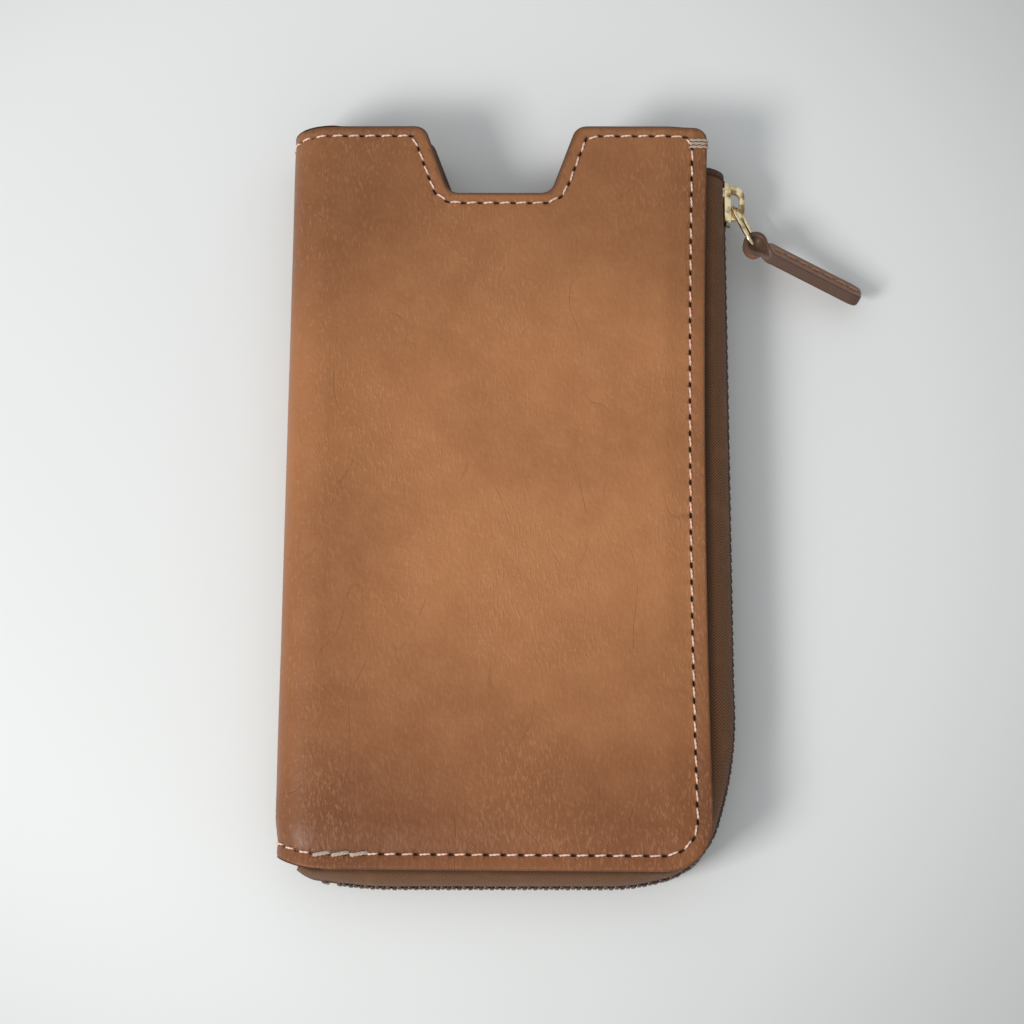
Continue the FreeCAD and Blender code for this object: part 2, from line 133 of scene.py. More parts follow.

# %% [markdown]
# ## Floor and light
#
# A pale painted board and one large soft lamp from the lower left, as beside a window, with an
# even sky for the rest. The board darkens away from its middle: that is painted light falloff.
# The lamp's size sets how soft the shadow's edge is, and its height sets how far the shadow
# reaches.

# %% Floor, lamp and sky
FLOOR_COLOUR = (0.70, 0.715, 0.705, 1)
# Painted light falloff: the board's colour darkens to this colour away from the middle.
FLOOR_PAINTED_FALLOFF = (0.40, 0.41, 0.40, 1)
FLOOR_MIDDLE = (-0.03, 0.02, 0)
FLOOR_LIT_TO = 0.095           # from the middle outwards the board is pale as far as this
FLOOR_DIM_FROM = 0.235
FLOOR_SIZE = 6.0
LAMP_DIRECTION = Vector((-0.68, -0.46, 0.78))
LAMP_DISTANCE = 0.8
LAMP_SIZE = 0.25
LAMP_WATTS = 4.3
LAMP_COLOUR = (1.0, 0.985, 0.965)
SKY_COLOUR = (0.96, 0.975, 1.0, 1)
SKY_BRIGHT = 0.82
SKY_DIM = 0.42
SKY_DIM_AT = -0.6              # cosine of the angle from the lamp where the sky is dimmest


def make_floor():
    bpy.ops.mesh.primitive_grid_add(x_subdivisions=8, y_subdivisions=8, size=FLOOR_SIZE)
    floor = bpy.context.object
    floor.name = "floor"
    material = bpy.data.materials.new("pale_board")
    material.use_nodes = True
    shader = material.node_tree.nodes["Principled BSDF"]
    shader.inputs["Roughness"].default_value = 0.75
    shader.inputs["Specular IOR Level"].default_value = 0.25
    nodes, links = material.node_tree.nodes, material.node_tree.links
    place = nodes.new("ShaderNodeTexCoord")
    away = nodes.new("ShaderNodeVectorMath")
    away.operation = "DISTANCE"
    away.inputs[1].default_value = FLOOR_MIDDLE
    # Painted light falloff: how far the board has darkened, from its distance to the middle.
    share = nodes.new("ShaderNodeMapRange")
    share.interpolation_type = "SMOOTHSTEP"
    share.inputs["From Min"].default_value = FLOOR_LIT_TO
    share.inputs["From Max"].default_value = FLOOR_DIM_FROM
    colour = nodes.new("ShaderNodeMix")
    colour.data_type = "RGBA"
    colour.inputs[6].default_value = FLOOR_COLOUR
    colour.inputs[7].default_value = FLOOR_PAINTED_FALLOFF
    links.new(place.outputs["Object"], away.inputs[0])
    links.new(away.outputs["Value"], share.inputs["Value"])
    links.new(share.outputs["Result"], colour.inputs[0])
    links.new(colour.outputs[2], shader.inputs["Base Color"])
    floor.data.materials.append(material)


def make_lamp():
    data = bpy.data.lights.new("window_lamp", "AREA")
    data.size = LAMP_SIZE
    data.energy = LAMP_WATTS
    data.color = LAMP_COLOUR
    lamp = bpy.data.objects.new("window_lamp", data)
    lamp.location = LAMP_DIRECTION.normalized() * LAMP_DISTANCE
    lamp.rotation_euler = LAMP_DIRECTION.to_track_quat("Z", "Y").to_euler()
    bpy.context.collection.objects.link(lamp)


def make_sky():
    world = bpy.data.worlds.new("sky")
    world.use_nodes = True
    tree = world.node_tree
    background = tree.nodes["Background"]
    background.inputs["Color"].default_value = SKY_COLOUR
    way = tree.nodes.new("ShaderNodeTexCoord")
    facing = tree.nodes.new("ShaderNodeVectorMath")
    facing.operation = "DOT_PRODUCT"
    facing.inputs[1].default_value = LAMP_DIRECTION.normalized()
    strength = tree.nodes.new("ShaderNodeMapRange")
    strength.inputs["From Min"].default_value = SKY_DIM_AT
    strength.inputs["To Min"].default_value = SKY_DIM
    strength.inputs["To Max"].default_value = SKY_BRIGHT
    tree.links.new(way.outputs["Generated"], facing.inputs[0])
    tree.links.new(facing.outputs["Value"], strength.inputs["Value"])
    tree.links.new(strength.outputs["Result"], background.inputs["Strength"])
    bpy.context.scene.world = world


make_floor()
make_lamp()
make_sky()
bpy.context.scene.view_settings.view_transform = "Standard"
print("stage ready")

# %% [markdown]
# ## Helpers for shader nodes
#
# Every finish here is a small graph of nodes. Each helper adds one node and returns the socket
# that the next one needs, so a material reads like a recipe. Patterns follow the UV map, which
# is in millimetres along each piece's own surface, and so they stay put when a piece bends.

# %% Node helpers
def add_node(tree, kind, inputs=(), **settings):
    """Adds a node, sets its settings, and gives its inputs values or links."""
    made = tree.nodes.new(kind)
    for key, value in settings.items():
        setattr(made, key, value)
    for key, value in dict(inputs).items():
        if isinstance(value, bpy.types.NodeSocket):
            tree.links.new(value, made.inputs[key])
        else:
            made.inputs[key].default_value = value
    return made


def srgb(red, green, blue):
    """A colour given as 0 to 255 on a screen, as linear values for a shader."""
    linear = [((v / 255 + 0.055) / 1.055) ** 2.4 if v > 10 else v / 255 / 12.92
              for v in (red, green, blue)]
    return (*linear, 1)


def surface(tree, turn=0.0, scale=(1, 1, 1)):
    """The UV map in millimetres, turned by some degrees and scaled."""
    uv = add_node(tree, "ShaderNodeUVMap", uv_map="surface").outputs["UV"]
    if turn == 0.0 and scale == (1, 1, 1):
        return uv
    inputs = {"Vector": uv, "Rotation": (0, 0, math.radians(turn)), "Scale": scale}
    return add_node(tree, "ShaderNodeMapping", inputs, vector_type="POINT").outputs["Vector"]


def noise_at(tree, vector, size, detail=3.0, roughness=0.5, distortion=0.0):
    """Soft noise with blobs of about the given size in millimetres."""
    inputs = {"Vector": vector, "Scale": 1 / size, "Detail": detail, "Roughness": roughness,
              "Distortion": distortion}
    return add_node(tree, "ShaderNodeTexNoise", inputs).outputs["Fac"]


def maths(tree, operation, first, second=0.0):
    return add_node(tree, "ShaderNodeMath", {0: first, 1: second}, operation=operation).outputs[0]


def times(tree, first, second):
    return maths(tree, "MULTIPLY", first, second)


def vector_maths(tree, operation, inputs):
    return add_node(tree, "ShaderNodeVectorMath", inputs, operation=operation).outputs[0]


def axes(tree, vector):
    """The X, Y and Z of a vector, as sockets by name."""
    return add_node(tree, "ShaderNodeSeparateXYZ", {"Vector": vector}).outputs


def fit(tree, value, low, high, to_low=0.0, to_high=1.0):
    """A value moved from one range to another with a smooth start and end."""
    inputs = {"Value": value, "From Min": low, "From Max": high,
              "To Min": to_low, "To Max": to_high}
    made = add_node(tree, "ShaderNodeMapRange", inputs, interpolation_type="SMOOTHSTEP")
    return made.outputs["Result"]


def blend_colour(tree, share, first, second, mode="MIX"):
    inputs = {0: share, 6: first, 7: second}
    return add_node(tree, "ShaderNodeMix", inputs, data_type="RGBA", blend_type=mode).outputs[2]


def warped(tree, vector, size, amount):
    """Coordinates pushed about by noise, so that a net of lines loses its straightness."""
    inputs = {"Vector": vector, "Scale": 1 / size, "Detail": 2.0}
    push = add_node(tree, "ShaderNodeTexNoise", inputs).outputs["Color"]
    push = vector_maths(tree, "SUBTRACT", {0: push, 1: (0.5, 0.5, 0.5)})
    push = vector_maths(tree, "SCALE", {0: push, "Scale": amount})
    return vector_maths(tree, "ADD", {0: vector, 1: push})


def bump(tree, height, depth, normal=None):
    """A bump whose height of 1 stands for the given depth in millimetres."""
    inputs = {"Height": height, "Distance": depth * MM, "Strength": 1.0}
    if normal is not None:
        inputs["Normal"] = normal
    return add_node(tree, "ShaderNodeBump", inputs).outputs["Normal"]


def edge_paint_and_shade(tree):
    """How dark the mesh marks this place: 1 for edge paint on a cut edge, and painted shade in a
    needle hole and on the zip tape beside the leather.
    """
    return add_node(tree, "ShaderNodeAttribute", attribute_name="paint_and_shade").outputs["Fac"]


def new_material(name, roughness, specular=0.5, metallic=0.0):
    material = bpy.data.materials.new(name)
    material.use_nodes = True
    shader = material.node_tree.nodes["Principled BSDF"]
    shader.inputs["Roughness"].default_value = roughness
    shader.inputs["Specular IOR Level"].default_value = specular
    shader.inputs["Metallic"].default_value = metallic
    return material, material.node_tree, shader


print("node helpers ready")

# %% [markdown]
# ## The tan leather
#
# Vegetable-tanned cowhide: an orange tan with a fine pebbled grain, wrinkles that run slantwise
# across the hide, and a few long creases. Towards the foot, the mouth, the fold and the seam, and
# in the creases, the colour is darkened as painted shade. The wrinkles are a little paler than the
# ground, as a painted highlight where they catch the light. We build each of these as a layer of
# its own, from large soft patches down to pores, and let noise decide where each one shows.
# Cut edges are painted dark and needle holes get painted shade, both marked by values on the mesh.

# %% Wrinkles and creases
WRINKLE_WIDTH = 0.6
WRINKLE_TURNS = (28, -8)       # degrees from the case's length, for the two sets of wrinkles
FOLD_WRINKLE_WIDTH = 0.55
FOLD_WRINKLE_TURN = 86
CREASE_TURN = 26
CREASE_SPACING = 16


def ridges(tree, vector, size, width):
    """Thin wandering lines, where soft noise passes through its middle value."""
    value = noise_at(tree, vector, size, 1.0, 0.4)
    away = maths(tree, "ABSOLUTE", maths(tree, "SUBTRACT", value, 0.5))
    return fit(tree, away, 0.0, width, 1.0, 0.0)


def strokes(tree, turn, width, stretch, low=0.53, high=0.66):
    """Short soft strokes: the high spots of noise that is stretched along one direction."""
    vector = warped(tree, surface(tree, turn, (1, 1 / stretch, 1)), 6, 1.0)
    return fit(tree, noise_at(tree, vector, width, 2.0, 0.55), low, high)


def hide_lines(tree, plain):
    """Slanting wrinkles, short wrinkles across the fold, and a few long creases."""
    region = fit(tree, noise_at(tree, plain, 30, 2, 0.5, 0.4), 0.42, 0.62, 0.35, 1.0)
    slanting = strokes(tree, WRINKLE_TURNS[0], WRINKLE_WIDTH, 3.2)
    steeper = strokes(tree, WRINKLE_TURNS[1], WRINKLE_WIDTH, 2.4, 0.56, 0.70)
    wrinkles = times(tree, maths(tree, "MAXIMUM", slanting, steeper), region)
    across = axes(tree, plain)["X"]
    near_fold = times(tree, fit(tree, across, -50, -42), fit(tree, across, -28, -36))
    away = fit(tree, across, -41, -33)
    folded = strokes(tree, FOLD_WRINKLE_TURN, FOLD_WRINKLE_WIDTH, 3.2, 0.55, 0.68)
    wrinkles = maths(tree, "MAXIMUM", times(tree, wrinkles, away), times(tree, folded, near_fold))
    broken = fit(tree, noise_at(tree, plain, 12, 2), 0.50, 0.60)
    creases = ridges(tree, surface(tree, CREASE_TURN, (1, 0.42, 1)), CREASE_SPACING, 0.006)
    return wrinkles, times(tree, creases, broken)


# %% Tan leather
EDGE_PAINT = srgb(66, 42, 30)
# Painted shade in the creases: the leather's colour is multiplied by this.
CREASE_PAINTED_SHADE = (0.80, 0.76, 0.72, 1)
# Painted shade: where the hide's colour is darkened to stand for shade: (axis, where it begins,
# where it is full, tint)
PAINTED_SHADE_AREAS = (
    ("Y", -5, -76, (0.72, 0.66, 0.59, 1)),      # towards the foot
    ("Y", -48, -76, (0.76, 0.70, 0.62, 1)),     # the foot itself
    ("Y", 20, 66, (0.74, 0.72, 0.68, 1)),       # the mouth
    ("X", -8, -32, (0.80, 0.76, 0.70, 1)),      # beside the fold
    ("X", 40.2, 42.0, (0.70, 0.66, 0.60, 1)),   # outside the seam
)


def leather(name, ground, dark, pale, edge, wrinkle=1.0, with_painted_shade=False):
    material, tree, shader = new_material(name, 0.45, 0.36)
    plain = surface(tree)
    patches = noise_at(tree, plain, 38, 2, 0.5)
    mottle = noise_at(tree, plain, 6, 4, 0.6)
    colour = blend_colour(tree, fit(tree, patches, 0.36, 0.62), dark, ground)
    colour = blend_colour(tree, fit(tree, mottle, 0.35, 0.75, 0.0, 0.22), colour, pale)
    if with_painted_shade:
        place = axes(tree, plain)
        # Painted shade: the colour is darkened where the leather turns away from the light.
        for axis, begin, full, tint in PAINTED_SHADE_AREAS:
            share = fit(tree, place[axis], begin, full)
            colour = blend_colour(tree, share, colour, tint, "MULTIPLY")
    wrinkles, creases = hide_lines(tree, plain)
    # Painted highlight: the wrinkles are paler where they catch the light.
    colour = blend_colour(tree, times(tree, wrinkles, 0.22 * wrinkle), colour, pale)
    # Painted shade: the creases are darkened.
    painted_crease_shade = times(tree, creases, 0.6 * wrinkle)
    colour = blend_colour(tree, painted_crease_shade, colour, CREASE_PAINTED_SHADE, "MULTIPLY")
    # Edge paint on the cut edges, and painted shade in the needle holes.
    colour = blend_colour(tree, edge_paint_and_shade(tree), colour, edge)
    tree.links.new(colour, shader.inputs["Base Color"])
    pebbles = add_node(tree, "ShaderNodeTexVoronoi",
                       {"Vector": warped(tree, plain, 3, 0.6), "Scale": 1.1, "Randomness": 0.9},
                       feature="SMOOTH_F1").outputs["Distance"]
    pores = noise_at(tree, plain, 0.35, 4, 0.6)
    normal = bump(tree, pores, 0.035)
    normal = bump(tree, fit(tree, pebbles, 0.1, 0.9, 1.0, 0.0), 0.045 * wrinkle, normal)
    normal = bump(tree, wrinkles, 0.05 * wrinkle, normal)
    normal = bump(tree, maths(tree, "SUBTRACT", 1.0, creases), 0.05 * wrinkle, normal)
    normal = bump(tree, noise_at(tree, plain, 9, 2), 0.20, normal)
    tree.links.new(normal, shader.inputs["Normal"])
    dry = maths(tree, "ADD", mottle, times(tree, wrinkles, 0.3))
    rough = fit(tree, dry, 0.3, 0.9, 0.40, 0.60)
    tree.links.new(rough, shader.inputs["Roughness"])
    return material


tan_leather = leather("tan_leather", srgb(164, 108, 65), srgb(152, 98, 57),
                      srgb(186, 131, 87), EDGE_PAINT, with_painted_shade=True)
print("made", tan_leather.name)

# %% [markdown]
# ## The other finishes
#
# The pull is the same hide in a browner colour. The sleeve and card pockets inside are
# a thinner, plainer tan. The lining is a woven cotton, the tape a herringbone twill, the teeth
# brown moulded plastic, the metal antique brass, and the thread a waxed cream two-ply. The
# sleeve's lining is a darker copy of the lining cloth, as painted shade inside the sleeve.

# %% Pull, inner leather and linings
pull_leather = leather("pull_leather", srgb(150, 102, 72), srgb(122, 80, 56),
                       srgb(172, 120, 88), srgb(76, 56, 46), wrinkle=0.5)
inner_leather = leather("inner_leather", srgb(160, 112, 76), srgb(144, 98, 64),
                        srgb(172, 124, 88), EDGE_PAINT, wrinkle=0.5)


def weave_height(tree, vector, pitch):
    """Over-and-under threads of a plain weave, as a height from 0 to 1."""
    place = axes(tree, vector)
    waves = [maths(tree, "SINE", times(tree, place[axis], math.tau / pitch)) for axis in "XY"]
    return maths(tree, "MULTIPLY_ADD", times(tree, *waves), 0.5)


def lining(name, ground, dark):
    material, tree, shader = new_material(name, 0.85, 0.2)
    plain = surface(tree)
    height = fit(tree, weave_height(tree, warped(tree, plain, 4, 0.12), 0.7), -0.5, 0.5)
    colour = blend_colour(tree, height, dark, ground)
    soiled = fit(tree, noise_at(tree, plain, 18), 0.3, 0.7, 0.0, 0.5)
    colour = blend_colour(tree, soiled, colour, dark)
    tree.links.new(colour, shader.inputs["Base Color"])
    tree.links.new(bump(tree, height, 0.12), shader.inputs["Normal"])
    shader.inputs["Sheen Weight"].default_value = 0.15
    return material


lining_fabric = lining("lining_fabric", srgb(150, 118, 84), srgb(116, 88, 60))
# Painted shade: a darker copy of the lining cloth for the sleeve's lining, which lies in shade.
painted_shade_lining = lining("painted_shade_lining", srgb(108, 82, 66), srgb(78, 58, 46))
print("made", pull_leather.name, inner_leather.name, lining_fabric.name, painted_shade_lining.name)

# %% Zip tape and teeth
TWILL_BAND = 2.3
TWILL_PITCH = 0.62
TWILL_SLANT = 0.9


def twill():
    """Herringbone: slanted ribs whose slant flips from one band across the tape to the next."""
    material, tree, shader = new_material("zip_tape", 0.8, 0.25)
    plain = surface(tree)
    place = axes(tree, plain)
    across = maths(tree, "ADD", place["Y"], 50 * TWILL_BAND)
    flip = maths(tree, "PINGPONG", across, TWILL_BAND)
    ribs = maths(tree, "ADD", place["X"], times(tree, flip, TWILL_SLANT))
    ribs = maths(tree, "SINE", times(tree, ribs, math.tau / TWILL_PITCH))
    height = fit(tree, ribs, -1.0, 1.0)
    fuzz = noise_at(tree, plain, 0.3, 4, 0.7)
    shade = times(tree, height, fit(tree, fuzz, 0.3, 0.7, 0.5, 1.0))
    colour = blend_colour(tree, shade, srgb(80, 50, 26), srgb(136, 90, 52))
    worn = fit(tree, noise_at(tree, plain, 6, 3), 0.5, 0.8, 0.0, 0.35)
    colour = blend_colour(tree, worn, colour, srgb(140, 96, 58))
    # Painted shadow on the tape beside the leather and at its cap, and painted shade on its tail.
    colour = blend_colour(tree, edge_paint_and_shade(tree), colour, srgb(44, 26, 18))
    tree.links.new(colour, shader.inputs["Base Color"])
    normal = bump(tree, fuzz, 0.06)
    tree.links.new(bump(tree, height, 0.14, normal), shader.inputs["Normal"])
    shader.inputs["Sheen Weight"].default_value = 0.1
    return material


def moulded_teeth():
    material, tree, shader = new_material("zip_teeth", 0.34, 0.5)
    plain = surface(tree)
    worn = noise_at(tree, plain, 1.6, 3)
    rubbed = fit(tree, worn, 0.35, 0.7)
    colour = blend_colour(tree, rubbed, srgb(52, 32, 22), srgb(84, 56, 38))
    tree.links.new(colour, shader.inputs["Base Color"])
    tree.links.new(fit(tree, worn, 0.3, 0.8, 0.26, 0.5), shader.inputs["Roughness"])
    tree.links.new(bump(tree, noise_at(tree, plain, 0.4, 3), 0.02), shader.inputs["Normal"])
    return material


zip_tape_finish = twill()
zip_teeth_finish = moulded_teeth()
print("made", zip_tape_finish.name, zip_teeth_finish.name)

# %% Brass and thread
def antique_brass():
    material, tree, shader = new_material("antique_brass", 0.3, 0.5, 1.0)
    plain = surface(tree)
    # The dark patches are partly tarnish and partly painted reflection of dark surroundings.
    tarnish_and_reflection = noise_at(tree, plain, 2.4, 2, 0.5)
    dark_tarnish_and_reflection = fit(tree, tarnish_and_reflection, 0.44, 0.66)
    colour = blend_colour(tree, dark_tarnish_and_reflection, srgb(252, 234, 188), srgb(146, 120, 76))
    tree.links.new(colour, shader.inputs["Base Color"])
    tree.links.new(fit(tree, tarnish_and_reflection, 0.3, 0.8, 0.16, 0.36), shader.inputs["Roughness"])
    scratches = noise_at(tree, surface(tree, 20, (1, 8, 1)), 0.8, 3)
    tree.links.new(bump(tree, scratches, 0.01), shader.inputs["Normal"])
    return material


# Painted shade: thread is darkened to this colour where it enters a needle hole.
NEEDLE_HOLE_SHADE = srgb(52, 32, 24)


def waxed_thread(name, ground, dark):
    material, tree, shader = new_material(name, 0.55, 0.35)
    plain = surface(tree)
    fibres = noise_at(tree, surface(tree, 0, (0.5, 6, 1)), 0.3, 3)
    soiled = noise_at(tree, plain, 5, 2)
    colour = blend_colour(tree, fit(tree, fibres, 0.3, 0.7, 0.0, 0.7), ground, dark)
    colour = blend_colour(tree, fit(tree, soiled, 0.5, 0.75, 0.0, 0.6), colour, dark)
    colour = blend_colour(tree, edge_paint_and_shade(tree), colour, NEEDLE_HOLE_SHADE)
    tree.links.new(colour, shader.inputs["Base Color"])
    tree.links.new(bump(tree, fibres, 0.03), shader.inputs["Normal"])
    shader.inputs["Sheen Weight"].default_value = 0.2
    return material


brass = antique_brass()
cream_thread = waxed_thread("cream_thread", srgb(234, 204, 186), srgb(196, 156, 132))
grey_thread = waxed_thread("grey_thread", srgb(184, 168, 152), srgb(140, 120, 102))
tab_thread = waxed_thread("tab_thread", srgb(190, 146, 116), srgb(140, 100, 76))
print("made", brass.name, cream_thread.name, grey_thread.name, tab_thread.name)

# %% [markdown]
# ## Helpers for outlines and meshes
#
# Leather is cut flat and then folded, so each leather piece is drawn flat in (u, y): u runs
# across the case and on round the fold, y along it. An outline is a few corners with radii.

# %% Outline helpers
def rounded(corners, step=0.8, closed=True):
    """Points no further apart than a step along (x, y, radius) corners with round arcs."""
    runs = []
    count = len(corners)
    for i, (x, y, radius) in enumerate(corners):
        here = Vector((x, y))
        ends = closed or 0 < i < count - 1
        if radius == 0 or not ends:
            runs.append([here])
            continue
        before = (Vector(corners[i - 1][:2]) - here).normalized()
        after = (Vector(corners[(i + 1) % count][:2]) - here).normalized()
        half = before.angle(after) / 2
        centre = here + (before + after).normalized() * (radius / math.sin(half))
        start = here + before * (radius / math.tan(half)) - centre
        sweep = math.pi - 2 * half
        if before.cross(after) > 0:
            sweep = -sweep
        pieces = max(3, math.ceil(radius * abs(sweep) / min(step, radius * 0.4)))
        runs.append([centre + Matrix.Rotation(sweep * k / pieces, 2) @ start
                     for k in range(pieces + 1)])
    points = []
    for i, run in enumerate(runs):
        points.extend(run)
        if i + 1 < count or closed:
            gap = runs[(i + 1) % count][0] - run[-1]
            pieces = max(1, math.ceil(gap.length / step))
            points.extend(run[-1] + gap * (k / pieces) for k in range(1, pieces))
    return points


def along(points, distance):
    """The point and the direction at a distance along a line of points."""
    for a, b in zip(points, points[1:]):
        length = (b - a).length
        if distance <= length:
            return a + (b - a) * (distance / length), (b - a) / length
        distance -= length
    last = (points[-1] - points[-2]).normalized()
    return points[-1].copy(), last


def line_length(points):
    return sum((b - a).length for a, b in zip(points, points[1:]))


def inset(points, distance):
    """A closed line moved inwards (to the left of its direction) by a small distance."""
    count = len(points)
    moved = []
    for i, point in enumerate(points):
        way = (points[(i + 1) % count] - points[i - 1]).normalized()
        moved.append(point + Vector((-way.y, way.x)) * distance)
    return moved


test_corner = rounded([(0, 0, 0), (10, 0, 3), (10, 10, 0)], closed=False)
print("a test corner has", len(test_corner), "points")

# %% Mesh helper
def build(name, points, faces, material, uv=None, paint_and_shade=None):
    """A mesh object from points in millimetres. uv has one pair for each point, in millimetres."""
    mesh = bpy.data.meshes.new(name)
    mesh.from_pydata([Vector(p) * MM for p in points], [], faces)
    corners = np.empty(len(mesh.loops), int)
    mesh.loops.foreach_get("vertex_index", corners)
    if uv is None:
        uv = [(p[0] + 0.31 * p[2], p[1] + 0.77 * p[2]) for p in points]
    layer = mesh.uv_layers.new(name="surface")
    layer.uv.foreach_set("vector", np.array(uv, np.float32)[corners].ravel())
    values = np.zeros(len(points), np.float32) if paint_and_shade is None else np.array(paint_and_shade, np.float32)
    mesh.attributes.new("paint_and_shade", "FLOAT", "POINT").data.foreach_set("value", values)
    mesh.polygons.foreach_set("use_smooth", [True] * len(mesh.polygons))
    mesh.materials.append(material)
    mesh.update()
    made = bpy.data.objects.new(name, mesh)
    bpy.context.collection.objects.link(made)
    print(name, "vertices", len(mesh.vertices), "faces", len(mesh.polygons))
    return made


# %% [markdown]
# ## How the cover moves
#
# The front turns about the fold's axis when the zip is open. At the foot of the case the zip is
# still closed, so leather, tape and teeth there stay together, and the front bends over its
# length. Here a piece of the cover is only fixed where it is made, with its CAD parts hidden,
# and a piece of the back is hung on its CAD body.


def on_cover(made, slot_name, *nodes):
    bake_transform(made)
    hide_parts(*nodes)


def on_body(made, body, slot_name, *nodes):
    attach(made, body)
    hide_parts(*nodes)


# %% [markdown]
# ## A slab of leather
#
# Thick leather has rounded cut edges, a shallow valley along each seam and a pit at each needle
# hole. We fill the flat outline with triangles: rings of points along the edge carry its
# roundness, small rings carry the pits, and an even lattice fills the rest. The flat drawing is
# then placed in space by a function, once for the outer face and once for the inner face.

# %% Filling an outline
def inside(points, loop):
    """Which points lie inside a closed loop, by counting crossings."""
    x, y = points[:, 0], points[:, 1]
    found = np.zeros(len(points), bool)
    for a, b in zip(loop, np.roll(loop, -1, axis=0)):
        crosses = (a[1] > y) != (b[1] > y)
        with np.errstate(divide="ignore", invalid="ignore"):
            at = (b[0] - a[0]) * (y - a[1]) / (b[1] - a[1]) + a[0]
        found ^= crosses & (x < at)
    return found


def nearest(points, targets):
    """Each point's distance to the nearest target."""
    best = np.full(len(points), np.inf)
    for start in range(0, len(targets), 64):
        part = targets[start:start + 64]
        gap = np.linalg.norm(points[:, None] - part[None], axis=2).min(1)
        best = np.minimum(best, gap)
    return best


def lattice(loop, spacing):
    low, high = loop.min(0), loop.max(0)
    rows = np.arange(low[1], high[1], spacing * 0.866)
    points = []
    for i, y in enumerate(rows):
        x = np.arange(low[0] + (i % 2) * spacing / 2, high[0], spacing)
        points.append(np.stack([x, np.full_like(x, y)], 1))
    return np.concatenate(points)


def as_array(points):
    return np.array([p[:2] for p in points])


test_grid = lattice(np.array([(0.0, 0.0), (10.0, 10.0)]), 1.0)
print("a lattice 10 mm square has", len(test_grid), "points")

# %% Slab helper
EDGE_ROUND = 0.42
PIT_STRETCH = 2.7
# Rings of a needle hole: (radius, depth, paint), where the paint is painted shade in the hole
PIT_RINGS = ((0.0, 0.85, 1.0), (0.13, 0.8, 1.0), (0.23, 0.55, 1.0), (0.31, 0.10, 0.25),
             (0.45, 0.02, 0.0))
PIT_SIDES = 8
PIT_CLEARANCE = 1.2            # the lattice keeps this far from a needle hole
VALLEY_DEPTH = 0.14
VALLEY_WIDTH = 0.9
MOUTH_PAINT = 0.55             # paint that has soaked into the face beside the mouth
BURNISHED = 0.45               # paint on the cut edges away from the mouth
WALL_START = 0.14              # from a painted edge to the bare face beside it


def on_mouth(u, y):
    return y > HALF_LENGTH - 20 and abs(u) < HALF_WIDTH - 2


